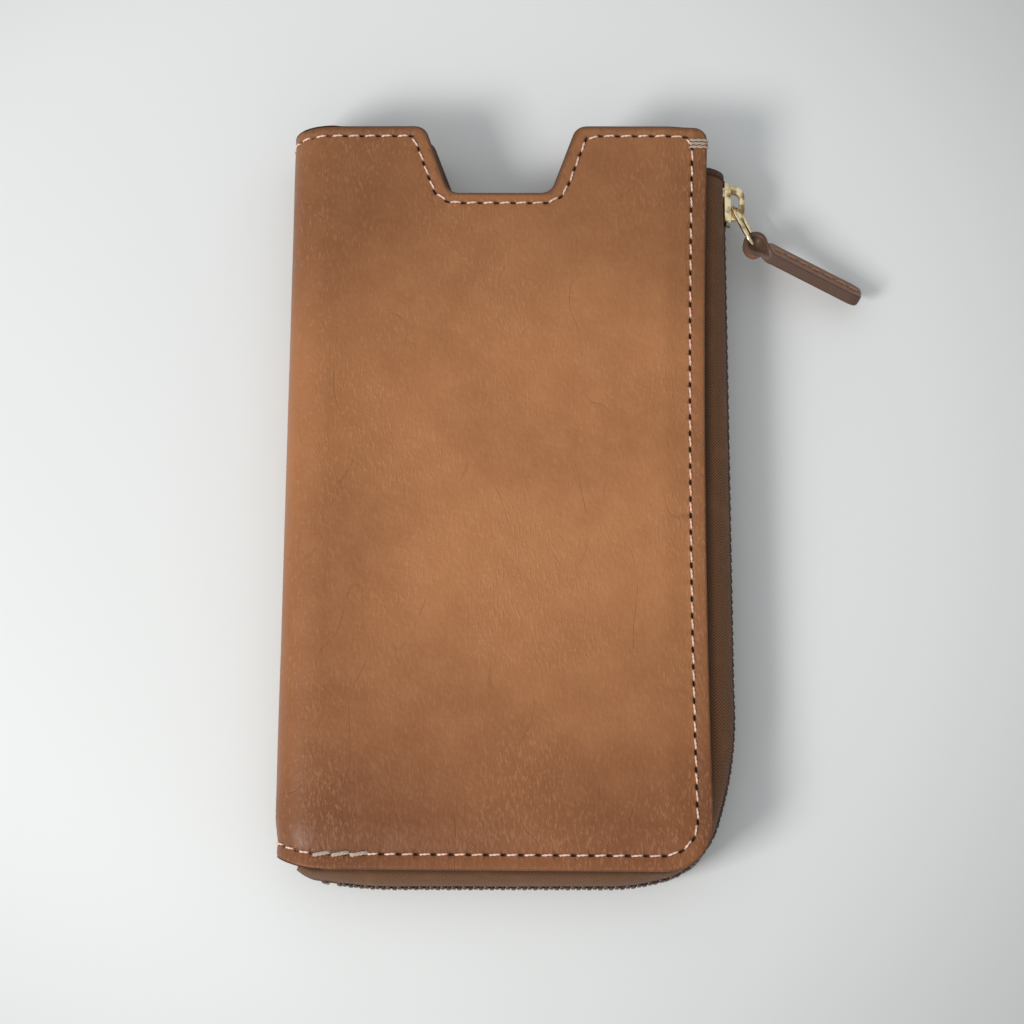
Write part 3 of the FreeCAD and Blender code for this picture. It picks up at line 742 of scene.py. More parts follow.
def slab(name, outline, place, thickness, material, holes=(), pits=(), seam=(), spacing=1.0,
         face_paint=0.0, wall_paint=1.0, edge_round=EDGE_ROUND):
    """Leather cut to a flat outline. pits are (u, y, heading) of needle holes, seam their line."""
    flat, depth, paint_and_shade = [], [], []

    def put(points, drop, share):
        flat.extend((p[0], p[1]) for p in points)
        depth.extend([drop] * len(points))
        paint_and_shade.extend([share] * len(points))

    def put_edge(points, drop, at_mouth, elsewhere):
        for point in points:
            share = wall_paint * (at_mouth if on_mouth(*point) else elsewhere)
            put([point], drop, max(share, face_paint))

    loops = [outline, *holes]
    rims = []
    for loop in loops:
        first = len(flat)
        put_edge(loop, edge_round, 1.0, BURNISHED)
        rims.append(list(range(first, len(flat))))
    for loop in loops:
        put_edge(inset(loop, 0.3 * edge_round), 0.29 * edge_round, 0.95, 0.3)
        put_edge(inset(loop, edge_round), 0.0, MOUTH_PAINT, 0.0)
    for u, y, heading in pits:
        way = Vector((math.cos(heading), math.sin(heading)))
        side = Vector((-way.y, way.x))
        middle = Vector((u, y))
        for radius, drop, share in PIT_RINGS:
            if radius == 0.0:
                put([middle], drop, share)
                continue
            turns = [k * math.tau / PIT_SIDES for k in range(PIT_SIDES)]
            put([middle + way * (PIT_STRETCH * radius * math.cos(t))
                 + side * (radius * math.sin(t)) for t in turns], drop, share)
    rim = np.concatenate([as_array(loop) for loop in loops])
    filler = lattice(as_array(outline), spacing)
    keep = inside(filler, as_array(outline))
    for loop in holes:
        keep &= ~inside(filler, as_array(loop))
    filler = filler[keep]
    filler = filler[nearest(filler, rim) > edge_round + 0.35 * spacing]
    if len(pits):
        filler = filler[nearest(filler, as_array(pits)) > PIT_CLEARANCE]
    put(filler, 0.0, face_paint)
    coords, _, faces, ids, _, _ = delaunay_2d_cdt([Vector(p) for p in flat], [], rims, 1, 1e-7)
    order = [group[0] for group in ids]
    where = {old: new for new, old in enumerate(order)}
    coords = np.array([flat[i] for i in order])
    drops = np.array([depth[i] for i in order])
    shares = [paint_and_shade[i] for i in order]
    outer_drops = drops.copy()
    if len(seam):
        gap = nearest(coords, as_array(seam))
        outer_drops += VALLEY_DEPTH * np.exp(-(gap / VALLEY_WIDTH) ** 2) * (drops < 0.1)
    under_drops = np.where(nearest(coords, rim) < edge_round, drops, 0.0)
    count = len(coords)
    points = [place(u, y, d) for (u, y), d in zip(coords, outer_drops)]
    points += [place(u, y, thickness(u, y) - d) for (u, y), d in zip(coords, under_drops)]
    uv = [tuple(c) for c in coords] * 2
    shares += [s if d > 0 else face_paint for s, d in zip(shares, under_drops)]
    mesh_faces = [tuple(f) for f in faces]
    mesh_faces += [tuple(i + count for i in reversed(f)) for f in faces]
    for ring in rims:
        ring = [where[i] for i in ring]
        rows = [ring]
        for side in (0, 1) if face_paint != wall_paint else ():
            start = len(points)
            for i in ring:
                u, y = coords[i]
                level = edge_round + WALL_START
                if side:
                    level = thickness(u, y) - level
                points.append(place(u, y, level))
                uv.append((u, y + level))
                shares.append(wall_paint * (1.0 if on_mouth(u, y) else BURNISHED))
            rows.append(list(range(start, len(points))))
        rows.append([i + count for i in ring])
        size = len(ring)
        for upper, lower in zip(rows, rows[1:]):
            for k in range(size):
                ahead = (k + 1) % size
                mesh_faces.append((upper[k], lower[k], lower[ahead], upper[ahead]))
    return build(name, points, mesh_faces, material, uv, shares)


# %% [markdown]
# ## Where the leather lies
#
# The front lies flat, dips towards its sewn border, and then runs on round the fold on the left
# as a thin flap. The back lies on the table and comes up round the fold under that flap. Both
# use the same flat drawing, so the grain runs on from one to the other. Real hide is never quite
# flat: a little noise and a slight waist on the zip side take away the stiffness.

# %% The leather's surface
BORDER_START = 35.0
BORDER_RUN = 6.0
BORDER_DROP = 0.8
FLAP_END = math.radians(145)
FLAP_LEATHER = 0.55
FOLD_SAG_FOOT = 3.2
FOLD_SAG_MOUTH = 0.8
FOLD_BULGE = 0.07
SLOW_WAVE = 0.42
QUICK_WAVE = 0.07
WAIST = 1.0


def smooth(value, low, high):
    """0 below low, 1 above high, with an S-shaped rise between."""
    share = min(max((value - low) / (high - low), 0.0), 1.0)
    return share * share * (3 - 2 * share)


def border_dip(u, y):
    """How far the front lies below its middle near the sewn side and the foot."""
    side = smooth(u, BORDER_START, BORDER_START + BORDER_RUN)
    foot_start = HALF_LENGTH - HALF_WIDTH + BORDER_START
    foot = smooth(-y, foot_start, foot_start + BORDER_RUN)
    return BORDER_DROP * max(side, foot)


def hide_relief(u, y):
    """Soft waves of the hide, in millimetres."""
    calm = 0.5
    if u > SPINE_X:
        calm = smooth(HALF_WIDTH - abs(u), 2, 14) * smooth(HALF_LENGTH - abs(y), 1, 12)
    slow = noise.noise(Vector((u / 30, y / 36, 1.7)))
    quick = noise.noise(Vector((u / 9, y / 13, 5.2)))
    return SLOW_WAVE * slow * calm + QUICK_WAVE * quick


def waist(u, y):
    """The zip side is pulled in a little at its middle."""
    zip_side = smooth(u, 15, HALF_WIDTH)
    return WAIST * ((y - 4) / 72) ** 2 * zip_side - 0.3 * zip_side


def round_fold(u, y, depth, radius, flap=1.0):
    """A point on the fold: u beyond the fold's start is length round its arc."""
    angle = (SPINE_X - u) / SPINE_RADIUS
    fade = (1 + math.cos(angle)) / 2
    bulge = FOLD_BULGE * SPINE_RADIUS * math.sin(2 * angle) ** 2 if angle < math.pi / 2 else 0.0
    r = radius - depth - border_dip(0, y) * fade + bulge * flap
    sag = FOLD_SAG_FOOT if y < 0 else FOLD_SAG_MOUTH
    pulled = smooth(angle, 0.0, math.pi / 2) * smooth(abs(y), 40, HALF_LENGTH)
    shrink = 1 - sag / HALF_LENGTH * pulled
    return Vector((SPINE_X - r * math.sin(angle), y * shrink, SPINE_RADIUS + r * math.cos(angle)))


def front_place(u, y, depth):
    if u < SPINE_X:
        return round_fold(u, y, depth, SPINE_RADIUS + hide_relief(u, y) * 0.4)
    z = CASE_TOP - border_dip(u, y) + hide_relief(u, y) - depth
    return Vector((u + waist(u, y), y, z))


def front_thickness(u, y):
    return FLAP_LEATHER + (LEATHER - FLAP_LEATHER) * smooth(u, SPINE_X - 0.5, SPINE_X + 3)


FOLD_LENGTH = math.pi * SPINE_RADIUS
BACK_FOLD_U = SPINE_X - FOLD_LENGTH


def past_flap(angle):
    """0 where the flap covers the back's fold, 1 just beyond the flap's end."""
    return smooth(angle, FLAP_END + 0.02, FLAP_END + 0.09)


def back_place(u, y, depth):
    if u > BACK_FOLD_U:
        angle = (SPINE_X - u) / SPINE_RADIUS
        under_flap = SPINE_RADIUS - FLAP_LEATHER - 0.08
        radius = under_flap + (FLAP_LEATHER + 0.02) * past_flap(angle)
        return round_fold(u, y, depth, radius, flap=0.0)
    x = SPINE_X + BACK_FOLD_U - u
    sag = FOLD_SAG_FOOT if y < 0 else FOLD_SAG_MOUTH
    pulled = sag * smooth(abs(y), 40, HALF_LENGTH) * smooth(-x, -SPINE_X - 14, -SPINE_X)
    y -= math.copysign(pulled, y)
    lift = 0.06 * (1 + noise.noise(Vector((u / 20, y / 25, 9.0))))
    return Vector((x + waist(x, y), y, lift + depth))


def back_thickness(u, y):
    angle = (SPINE_X - u) / SPINE_RADIUS
    return LEATHER - (FLAP_LEATHER + 0.05) * (1 - past_flap(angle))


print("fold length", round(FOLD_LENGTH, 1), "mm")

# %% [markdown]
# ## Cutting lines and stitch lines
#
# The mouth has a notch for the thumb. The seam runs a few millimetres inside the cut edge, with
# one needle hole every 3.5 mm. A stitch reaches from hole to hole and dives into both.

# %% Outlines, seams and needle holes
NOTCH_HALF_TOP = 16.2
NOTCH_HALF_LOW = 10.8
NOTCH_DEPTH = 15.1
NOTCH_MIDDLE = 0.6
NOTCH_RADIUS = 3.0
BACK_NOTCH_STEP = 1.2
CORNER_RADIUS = 10.0
MOUTH_CORNER_RADIUS = 3.0
FLAP_CORNER_RADIUS = 0.8
SEAM_INSET = 3.1
MOUTH_INSET = 2.3
STITCH_PITCH = 3.5


def case_outline(left, side, top, step=0.0):
    """Corners of the case's flat plan, counter-clockwise, inset from the side and the mouth."""
    right = HALF_WIDTH - side
    foot = -HALF_LENGTH + side
    head = HALF_LENGTH - top
    wide = NOTCH_HALF_TOP - step + top
    narrow = NOTCH_HALF_LOW - step + top
    floor = HALF_LENGTH - NOTCH_DEPTH + step - top
    outer = max(NOTCH_RADIUS - top, 0.6)
    return [
        (left, foot, 0),
        (right, foot, CORNER_RADIUS - side),
        (right, head, max(MOUTH_CORNER_RADIUS - side, 0.6)),
        (NOTCH_MIDDLE + wide, head, outer),
        (NOTCH_MIDDLE + narrow, floor, NOTCH_RADIUS + top),
        (NOTCH_MIDDLE - narrow, floor, NOTCH_RADIUS + top),
        (NOTCH_MIDDLE - wide, head, outer),
        (left, head, 0),
    ]


def needle_holes(line):
    """(u, y, heading) every stitch along a line."""
    found = []
    for k in range(int(line_length(line) / STITCH_PITCH) + 1):
        point, way = along(line, k * STITCH_PITCH)
        found.append((point.x, point.y, math.atan2(way.y, way.x)))
    return found


FLAP_END_U = SPINE_X - FLAP_END * SPINE_RADIUS
front_corners = case_outline(FLAP_END_U, 0, 0)
for end in (0, -1):
    front_corners[end] = (*front_corners[end][:2], FLAP_CORNER_RADIUS)
front_outline = rounded(front_corners)
front_seam_corners = case_outline(FLAP_END_U + 1.5, SEAM_INSET, MOUTH_INSET)
front_seam = rounded(front_seam_corners, 0.5, closed=False)
front_holes = needle_holes(front_seam)
print("front seam", round(line_length(front_seam)), "mm,", len(front_holes), "holes")

# %% The back's outline and seam
def to_back(x):
    """The flat drawing's u for a place x on the back panel."""
    return SPINE_X + BACK_FOLD_U - x


def turned_over(corners):
    """A front drawing turned over for the back, and kept counter-clockwise."""
    return [(to_back(x), y, radius) for x, y, radius in reversed(corners)]


BACK_FLAP_START = SPINE_X - SPINE_RADIUS * math.radians(37)
back_corners = case_outline(to_back(BACK_FLAP_START), 0, 0, BACK_NOTCH_STEP)
back_outline = rounded(turned_over(back_corners))
back_seam_left = to_back(FLAP_END_U - 2.0)
back_seam_corners = case_outline(back_seam_left, SEAM_INSET, MOUTH_INSET, BACK_NOTCH_STEP)
back_seam = rounded(turned_over(back_seam_corners), 0.5, closed=False)
back_holes = needle_holes(back_seam)
print("back seam", round(line_length(back_seam)), "mm,", len(back_holes), "holes")

# %% Front and back leather
front_leather = slab("front_leather", front_outline, front_place, front_thickness,
                     tan_leather, pits=front_holes, seam=front_seam)
on_cover(front_leather, "wrap_leather", "front_panel")
back_leather = slab("back_leather", back_outline, back_place, back_thickness, tan_leather,
                    pits=back_holes, seam=back_seam)
on_body(back_leather, "back", "wrap_leather", "back_panel", "spine")

# %% [markdown]
# ## Stitches
#
# The thread is two plies twisted together. Each stitch lies in the seam's valley and dives into
# a hole at both ends, a little askew as hand stitches are. We model one stitch as two strands
# that wind round each other along an arch, and repeat it from hole to hole.

# %% Stitch helper
STRAND_RADIUS = 0.135
PLY_OFFSET = 0.09
TWIST_PITCH = 1.9
STITCH_RISE = 0.2
STITCH_DIVE = 0.95
STITCH_REACH = 0.67            # share of the way from hole to hole that the thread shows
STITCH_STEPS = 14
ASKEW = math.radians(6)


def strand(points, radius, sides=7):
    """Vertices and faces of a round strand along points, and its UV."""
    verts, faces, uv = [], [], []
    run = 0.0
    count = len(points)
    for i, point in enumerate(points):
        way = (points[min(i + 1, count - 1)] - points[max(i - 1, 0)]).normalized()
        side = way.orthogonal() if i == 0 else side - way * side.dot(way)
        side.normalize()
        up = way.cross(side)
        run += (point - points[i - 1]).length if i else 0.0
        for k in range(sides):
            turn = math.tau * k / sides
            verts.append(point + side * (radius * math.cos(turn)) + up * (radius * math.sin(turn)))
            uv.append((run, k * math.tau * radius / sides))
    for i in range(count - 1):
        for k in range(sides):
            a, b = i * sides + k, i * sides + (k + 1) % sides
            faces.append((a, b, b + sides, a + sides))
    faces.append(tuple(reversed(range(sides))))
    faces.append(tuple(range((count - 1) * sides, count * sides)))
    return verts, faces, uv


def twisted(points, ups, radius, offset, pitch, start_turn, plies=2):
    """Strands wound round a line; ups is the direction away from the leather at each point."""
    whole = ([], [], [])
    for ply in range(plies):
        path = []
        run = 0.0
        for i, point in enumerate(points):
            run += (point - points[i - 1]).length if i else 0.0
            way = (points[min(i + 1, len(points) - 1)] - points[max(i - 1, 0)]).normalized()
            up = (ups[i] - way * ups[i].dot(way)).normalized()
            side = way.cross(up)
            turn = start_turn + math.tau * (run / pitch + ply / plies)
            path.append(point + side * (offset * math.cos(turn)) + up * (offset * math.sin(turn)))
        add_part(whole, strand(path, radius))
    return whole


def add_part(whole, part):
    """Adds a part's vertices, faces and UV to the lists of the whole."""
    first = len(whole[0])
    whole[0].extend(part[0])
    whole[1].extend(tuple(i + first for i in face) for face in part[1])
    whole[2].extend(part[2])


def surface_frame(place, u, y):
    """The leather's point and its outward direction at (u, y)."""
    here = place(u, y, 0.0)
    across = place(u + 0.3, y, 0.0) - place(u - 0.3, y, 0.0)
    lengthwise = place(u, y + 0.3, 0.0) - place(u, y - 0.3, 0.0)
    out = across.cross(lengthwise).normalized()
    deeper = place(u, y, 0.5) - here
    return here, -out if out.dot(deeper) > 0 else out


def stitch_line(a, b, place):
    """An arch from hole a to hole b, over the leather, as points and outward directions."""
    points, ups = [], []
    middle = Vector(((a[0] + b[0]) / 2, (a[1] + b[1]) / 2))
    half = Vector((b[0] - a[0], b[1] - a[1])) / 2
    half = Matrix.Rotation(ASKEW, 2) @ half
    for k in range(STITCH_STEPS + 1):
        share = 2 * k / STITCH_STEPS - 1
        flat = middle + half * (share * STITCH_REACH)
        here, out = surface_frame(place, flat.x, flat.y)
        height = STITCH_RISE - 0.14 - STITCH_DIVE * abs(share) ** 5
        points.append(here + out * height)
        ups.append(out)
    return points, ups


def sew(name, hole_pairs, place, material):
    whole = ([], [], [])
    for k, (a, b) in enumerate(hole_pairs):
        points, ups = stitch_line(a, b, place)
        v, f, t = twisted(points, ups, STRAND_RADIUS, PLY_OFFSET, TWIST_PITCH, 2.4 * k)
        add_part(whole, (v, f, [(s + 3.7 * k, r) for s, r in t]))
    verts, faces, uv = whole
    return build(name, verts, faces, material, uv)


print("a stitch shows over", round(STITCH_PITCH * STITCH_REACH, 2), "mm")

# %% Sewing the front and the back
def is_mouth_row(pair):
    return pair[0][1] > 0 and pair[0][0] < HALF_WIDTH - SEAM_INSET - 0.3


front_pairs = list(zip(front_holes, front_holes[1:]))
mouth_pairs = [pair for pair in front_pairs if is_mouth_row(pair)]
seam_pairs = [pair for pair in front_pairs if not is_mouth_row(pair)]
mouth_row = sew("mouth_row", mouth_pairs, front_place, cream_thread)
on_cover(mouth_row, "thread", "mouth_stitching")
seam_row = sew("seam_row", seam_pairs, front_place, cream_thread)
on_cover(seam_row, "thread", "front_seam_stitching")
back_row = sew("back_row", list(zip(back_holes, back_holes[1:])), back_place, cream_thread)
on_body(back_row, "back", "thread", "back_stitching")

# %% [markdown]
# ## Bar tacks
#
# Seams are locked where they end: three turns of thread go over the edge at the mouth's corner,
# and three thick stitches lie over the row near the fold at the foot.

# %% Bar tacks
EDGE_TACKS = 3
EDGE_TACK_STEPS = 24
EDGE_TACK_RADIUS = 0.17
FOOT_TACKS = 3
FOOT_TACK_STEPS = 14
FOOT_TACK_RADIUS = 0.23


def edge_tack(y):
    """A thread over the edge of the zip side: along the top, round the edge and under it."""
    reach = HALF_WIDTH + waist(HALF_WIDTH, y)
    top = CASE_TOP - BORDER_DROP
    stations = [
        (HALF_WIDTH - SEAM_INSET - 0.2, top - 0.5),
        (HALF_WIDTH - SEAM_INSET + 0.2, top + 0.12),
        (reach - 1.6, top + 0.2),
        (reach - 0.3, top + 0.06),
        (reach + 0.2, top - 0.5),
        (reach + 0.12, top - 1.1),
        (reach - 0.6, top - 1.55),
    ]
    corners = [Vector(s) for s in stations]
    length = line_length(corners)
    points, ups = [], []
    for k in range(EDGE_TACK_STEPS + 1):
        point, way = along(corners, length * k / EDGE_TACK_STEPS)
        points.append(Vector((point.x, y, point.y)))
        ups.append(Vector((way.y, 0, -way.x)) * -1)
    for _ in range(3):
        middle = [(a + b * 2 + c) / 4 for a, b, c in zip(points, points[1:], points[2:])]
        points = [points[0], *middle, points[-1]]
    return points, ups


def foot_tack(u):
    """A thick stitch lying over the foot's row."""
    y = -HALF_LENGTH + SEAM_INSET
    points, ups = [], []
    for k in range(FOOT_TACK_STEPS + 1):
        share = 2 * k / FOOT_TACK_STEPS - 1
        here, out = surface_frame(front_place, u + 1.75 * share, y + 0.35 * share)
        points.append(here + out * (0.26 - 0.9 * abs(share) ** 6))
        ups.append(out)
    return points, ups


def make_tacks():
    whole = ([], [], [])
    lines = [(edge_tack(HALF_LENGTH - 3.0 - 0.75 * i), EDGE_TACK_RADIUS, 2)
             for i in range(EDGE_TACKS)]
    lines += [(foot_tack(SPINE_X + 1.0 + 3.8 * i), FOOT_TACK_RADIUS, 3)
              for i in range(FOOT_TACKS)]
    for k, ((points, ups), radius, plies) in enumerate(lines):
        add_part(whole, twisted(points, ups, radius, radius * 0.9, 2.6, 1.3 * k, plies))
    verts, faces, uv = whole
    return build("locking_tacks", verts, faces, grey_thread, uv)


tacks = make_tacks()
on_cover(tacks, "thread", "bar_tacks")

# %% [markdown]
# ## The zip's path
#
# The chain starts beside the mouth, runs down the right side a few millimetres outside the
# leather, turns the corner and ends at the fold. We describe the leather's edge and the chain
# as two lines with the same number of stretches, so that the tape can be spanned between them.

# %% Zip path
CHAIN_LINE = [
    ((47.2, 70.2), None),
    ((48.1, -42.0), (47.7, -55.0)),
    ((45.2, -66.8), (42.1, -73.6)),
    ((37.0, -78.0), (31.0, -79.7)),
    ((24.0, -80.4), None),
    ((-18.0, -80.7), (-27.0, -80.4)),
    ((-34.7, -79.4), None),
]
SEAM_LINE = [
    ((44.0, 70.2), None),
    ((44.0, -42.0), None),
    ((44.0, -69.0), (41.07, -76.07)),
    ((34.0, -79.0), None),
    ((24.0, -79.0), None),
    ((-18.0, -79.0), None),
    ((-34.7, -79.0), None),
]
STRETCH_STEPS = (190, 42, 24, 22, 70, 28)


def arc_points(a, middle, b, count):
    """Points on the circle through three points, from a towards b."""
    ax, ay, bx, by, cx, cy = *a, *middle, *b
    d = 2 * (ax * (by - cy) + bx * (cy - ay) + cx * (ay - by))
    a2, b2, c2 = ax**2 + ay**2, bx**2 + by**2, cx**2 + cy**2
    centre = Vector(((a2 * (by - cy) + b2 * (cy - ay) + c2 * (ay - by)) / d,
                     (a2 * (cx - bx) + b2 * (ax - cx) + c2 * (bx - ax)) / d))
    start, end = a - centre, b - centre
    sweep = math.atan2(start.cross(end), start.dot(end))
    return [centre + Matrix.Rotation(sweep * k / count, 2) @ start for k in range(count)]


def sampled(line):
    points = []
    for ((start, bend), (end, _)), count in zip(zip(line, line[1:]), STRETCH_STEPS):
        start, end = Vector(start), Vector(end)
        if bend is None:
            points += [start + (end - start) * (k / count) for k in range(count)]
        else:
            points += arc_points(start, Vector(bend), end, count)
    return [*points, Vector(line[-1][0])]


chain_points = sampled(CHAIN_LINE)
seam_points = sampled(SEAM_LINE)
print("chain length", round(line_length(chain_points), 1), "mm")

# %% [markdown]
# ## Zip tape
#
# A woven tape is sewn under the leather's edge. It bulges outwards and turns upright where the
# teeth grip it. We draw its section as a few points from the seam to the chain and repeat it
# along the path. The lower tape is the mirror image of the upper one about the zip's middle.

# %% Tape
TAPE = 0.5
TOOTH_DEPTH = 1.6
TOOTH_HEIGHT = 2.8
TOOTH_OVERLAP = 1.6
FLANGE_TOP = CASE_TOP - LEATHER - BORDER_DROP
TEETH_TOP = ZIP_LEVEL - TOOTH_OVERLAP / 2 + TOOTH_HEIGHT


def tape_section(seam, chain, out):
    """(point seen from above, height) from under the leather to the teeth, on the tape's middle."""
    high = FLANGE_TOP - 0.28
    edge = chain + out * (TOOTH_DEPTH / 2)
    reach = (edge - seam).dot(out)
    stations = [
        (seam - out * 3.4, high),
        (seam - out * 1.7, high),
        (seam - out * 0.2, high - 0.05),
        (seam + out * (reach * 0.30), high - 0.55),
        (seam + out * (reach * 0.58), high - 1.35),
        (seam + out * (reach * 0.82), high - 2.55),
        (edge - out * 0.05, TEETH_TOP + 1.3),
        (edge, TEETH_TOP + 0.5),
        (edge, TEETH_TOP - 0.6),
    ]
    return [Vector((p.x, p.y, z)) for p, z in stations]


def curve_through(points, fine):
    """A smooth line through points, with some steps from each one to the next."""
    found = []
    for a, b, c, d in zip([points[0]] + points, points, points[1:], points[2:] + [points[-1]]):
        for k in range(fine):
            t = k / fine
            found.append(0.5 * (2 * b + (c - a) * t + (2 * a - 5 * b + 4 * c - d) * t**2
                                + (3 * b - a - 3 * c + d) * t**3))
    return [*found, points[-1]]


print("the tape's section stands", round(TEETH_TOP + 1.3 - ZIP_LEVEL, 1), "mm above the middle")

# %% Both tapes
# The folded end of the tape: (place along the chain, thickness, shade), where shade paints the cap
# darker and puts a painted shadow line under it
CAP_STATIONS = ((-1.5, 0.30, 0.6), (-1.35, 0.75, 0.6), (-0.8, 0.95, 0.5), (-0.2, 0.95, 0.6),
                (-0.05, 0.6, 1.0))
TAIL_STEPS = 6
FOLD_AT = 2                    # the tape's first steps are folded back under the cap


def tape_stations():
    """(seam, chain, way, thickness, painted shade, drop) from the folded cap to the tucked tail."""
    stations = []
    way = (chain_points[1] - chain_points[0]).normalized()
    seam, chain = seam_points[FOLD_AT], chain_points[FOLD_AT]
    for shift, thick, shade in CAP_STATIONS:
        stations.append((seam + way * shift, chain + way * shift, way, thick, shade, 0.0))
    last = len(chain_points) - 1
    for i in range(FOLD_AT, last + 1):
        way = (chain_points[min(i + 1, last)] - chain_points[i - 1]).normalized()
        # Painted shadow: a dark line where the tape comes out from under its cap.
        shade = 0.9 if i == FOLD_AT else 0.0
        stations.append((seam_points[i], chain_points[i], way, TAPE, shade, 0.0))
    # The tucked tail darkens towards its end, as painted shade under the leather.
    for k in range(1, TAIL_STEPS + 1):
        t = k / TAIL_STEPS
        seam = seam_points[-1] + Vector((-3.6 * t, 1.3 * t * t))
        chain = chain_points[-1] + Vector((-4.0 * t, 1.6 * t * t))
        way = Vector((-4.0, 3.2 * t)).normalized()
        stations.append((seam, chain, way, TAPE, 0.3 * t, 1.1 * t * t))
    return stations


def make_tape(name, upper):
    points, uv, shades = [], [], []
    run = 0.0
    stations = tape_stations()
    for i, (seam, chain, way, thick, shade, drop) in enumerate(stations):
        run += (chain - stations[i - 1][1]).length if i else 0.0
        flat = curve_through(tape_section(seam, chain, Vector((-way.y, way.x))), 3)
        columns = len(flat)
        rows = ([], [])
        for k, point in enumerate(flat):
            step = (flat[min(k + 1, columns - 1)] - flat[max(k - 1, 0)]).normalized()
            normal = Vector((way.x, way.y, 0)).cross(step).normalized()
            ripple = 0.07 * noise.noise(Vector((run / 5, k / 5, 2.0)))
            rows[0].append(point + normal * (ripple + thick / 2))
            rows[1].append(point + normal * (ripple - thick / 2))
        for row in rows:
            for k, point in enumerate(row):
                point.z -= drop
                if not upper:
                    point.z = 2 * ZIP_LEVEL - point.z
                points.append(point)
                uv.append((run, k * 0.55))
                # Painted shadow: the tape darkens under and beside the leather's edge.
                shades.append(max(shade, 0.6 * (1 - smooth(k, 6, 10))))
    stride = 2 * columns
    faces = []

    def add(*corners):
        faces.append(corners if upper else corners[::-1])

    for a in range(0, (len(stations) - 1) * stride, stride):
        for k in range(a, a + columns - 1):
            add(k, k + stride, k + stride + 1, k + 1)
            add(k + columns + 1, k + columns + stride + 1, k + columns + stride, k + columns)
        b = a + columns - 1
        add(a, a + columns, a + columns + stride, a + stride)
        add(b, b + stride, b + columns + stride, b + columns)
    last = (len(stations) - 1) * stride
    for k in range(columns - 1):
        add(k, k + 1, k + 1 + columns, k + columns)
        add(last + k, last + k + columns, last + k + 1 + columns, last + k + 1)
    return build(name, points, faces, zip_tape_finish, uv, shades)


upper_tape = make_tape("upper_tape", True)
on_cover(upper_tape, "zip_tape", "upper_zip_tape")
lower_tape = make_tape("lower_tape", False)
on_body(lower_tape, "back", "zip_tape", "lower_zip_tape")

# %% [markdown]
# ## Teeth and stops
#
# Each tooth is a small moulded block clamped on the tape's edge, with a rounded nose. The rows
# mesh: every second place belongs to the upper tape. One rounded block is modelled and set at
# every place along the chain.

# %% Teeth
TOOTH_PITCH = 2.2
TOOTH_LENGTH = 1.05
FIRST_TOOTH = 5.6
STOP_GAP = 0.6
STOP_LENGTH = 1.5
TOOTH_ROUND = 0.32
STOP_ROUND = 0.3


def rounded_block(size, radius):
    """Vertices and faces of a block with rounded edges, from its low corner."""
    mesh = bmesh.new()
    bmesh.ops.create_cube(mesh, size=1.0)
    for vert in mesh.verts:
        vert.co = Vector([(c + 0.5) * s for c, s in zip(vert.co, size)])
    bmesh.ops.bevel(mesh, geom=list(mesh.edges), offset=radius, segments=3, profile=0.5,
                    affect="EDGES")
    verts = [v.co.copy() for v in mesh.verts]
    faces = [tuple(v.index for v in f.verts) for f in mesh.faces]
    mesh.free()
    return verts, faces


def chain_row(name, places, low, size, radius, material):
    """Blocks at distances along the chain, their inner side on the chain's line."""
    template, block_faces = rounded_block(size, radius)
    verts, faces, uv = [], [], []
    for place in places:
        start, _ = along(chain_points, place)
        end, _ = along(chain_points, place + size[0])
        way = (end - start).normalized()
        out = Vector((-way.y, way.x))
        faces += [tuple(i + len(verts) for i in f) for f in block_faces]
        for v in template:
            spot = start + way * v.x + out * v.y
            verts.append(Vector((spot.x, spot.y, low + v.z)))
            uv.append((place + v.x + v.y, v.z))
    return build(name, verts, faces, material, uv)


chain_length = line_length(chain_points)
last_tooth = chain_length - 2 * STOP_GAP - STOP_LENGTH - TOOTH_LENGTH
lower_places = np.arange(FIRST_TOOTH, last_tooth, TOOTH_PITCH)
upper_places = np.arange(FIRST_TOOTH + TOOTH_PITCH / 2, last_tooth, TOOTH_PITCH)
tooth_size = (TOOTH_LENGTH, TOOTH_DEPTH, TOOTH_HEIGHT)
teeth_low = ZIP_LEVEL + TOOTH_OVERLAP / 2 - TOOTH_HEIGHT
upper_teeth = chain_row("upper_teeth", upper_places, ZIP_LEVEL - TOOTH_OVERLAP / 2,
                        tooth_size, TOOTH_ROUND, zip_teeth_finish)
on_cover(upper_teeth, "zip_teeth", "upper_zip_teeth")
lower_teeth = chain_row("lower_teeth", lower_places, teeth_low, tooth_size, TOOTH_ROUND,
                        zip_teeth_finish)
on_body(lower_teeth, "back", "zip_teeth", "lower_zip_teeth")

# %% Stops
half_stop = (STOP_LENGTH, TOOTH_DEPTH, TEETH_TOP - ZIP_LEVEL)
full_stop = (STOP_LENGTH, TOOTH_DEPTH, TEETH_TOP - teeth_low)
upper_stop = chain_row("upper_stop", [STOP_GAP], ZIP_LEVEL, half_stop, STOP_ROUND,
                       zip_teeth_finish)
on_cover(upper_stop, "zip_teeth", "upper_top_stop")
lower_stop = chain_row("lower_stop", [STOP_GAP], teeth_low, half_stop, STOP_ROUND,
                       zip_teeth_finish)
on_body(lower_stop, "back", "zip_teeth", "lower_top_stop")
end_place = chain_length - STOP_GAP - STOP_LENGTH
end_stop = chain_row("end_stop", [end_place], teeth_low, full_stop, STOP_ROUND,
                     zip_teeth_finish)
on_body(end_stop, "back", "zip_teeth", "bottom_stop")

# %% [markdown]
# ## Slider, bridge and ring
#
# The CAD shapes of the brass parts are right, but real castings have rounded edges that catch
# the light. We take a copy of each CAD mesh, clean its flat faces, and bevel its edges.

# %% Brass parts
FLAT_ANGLE = math.radians(2)
SHARP_ANGLE = math.radians(35)


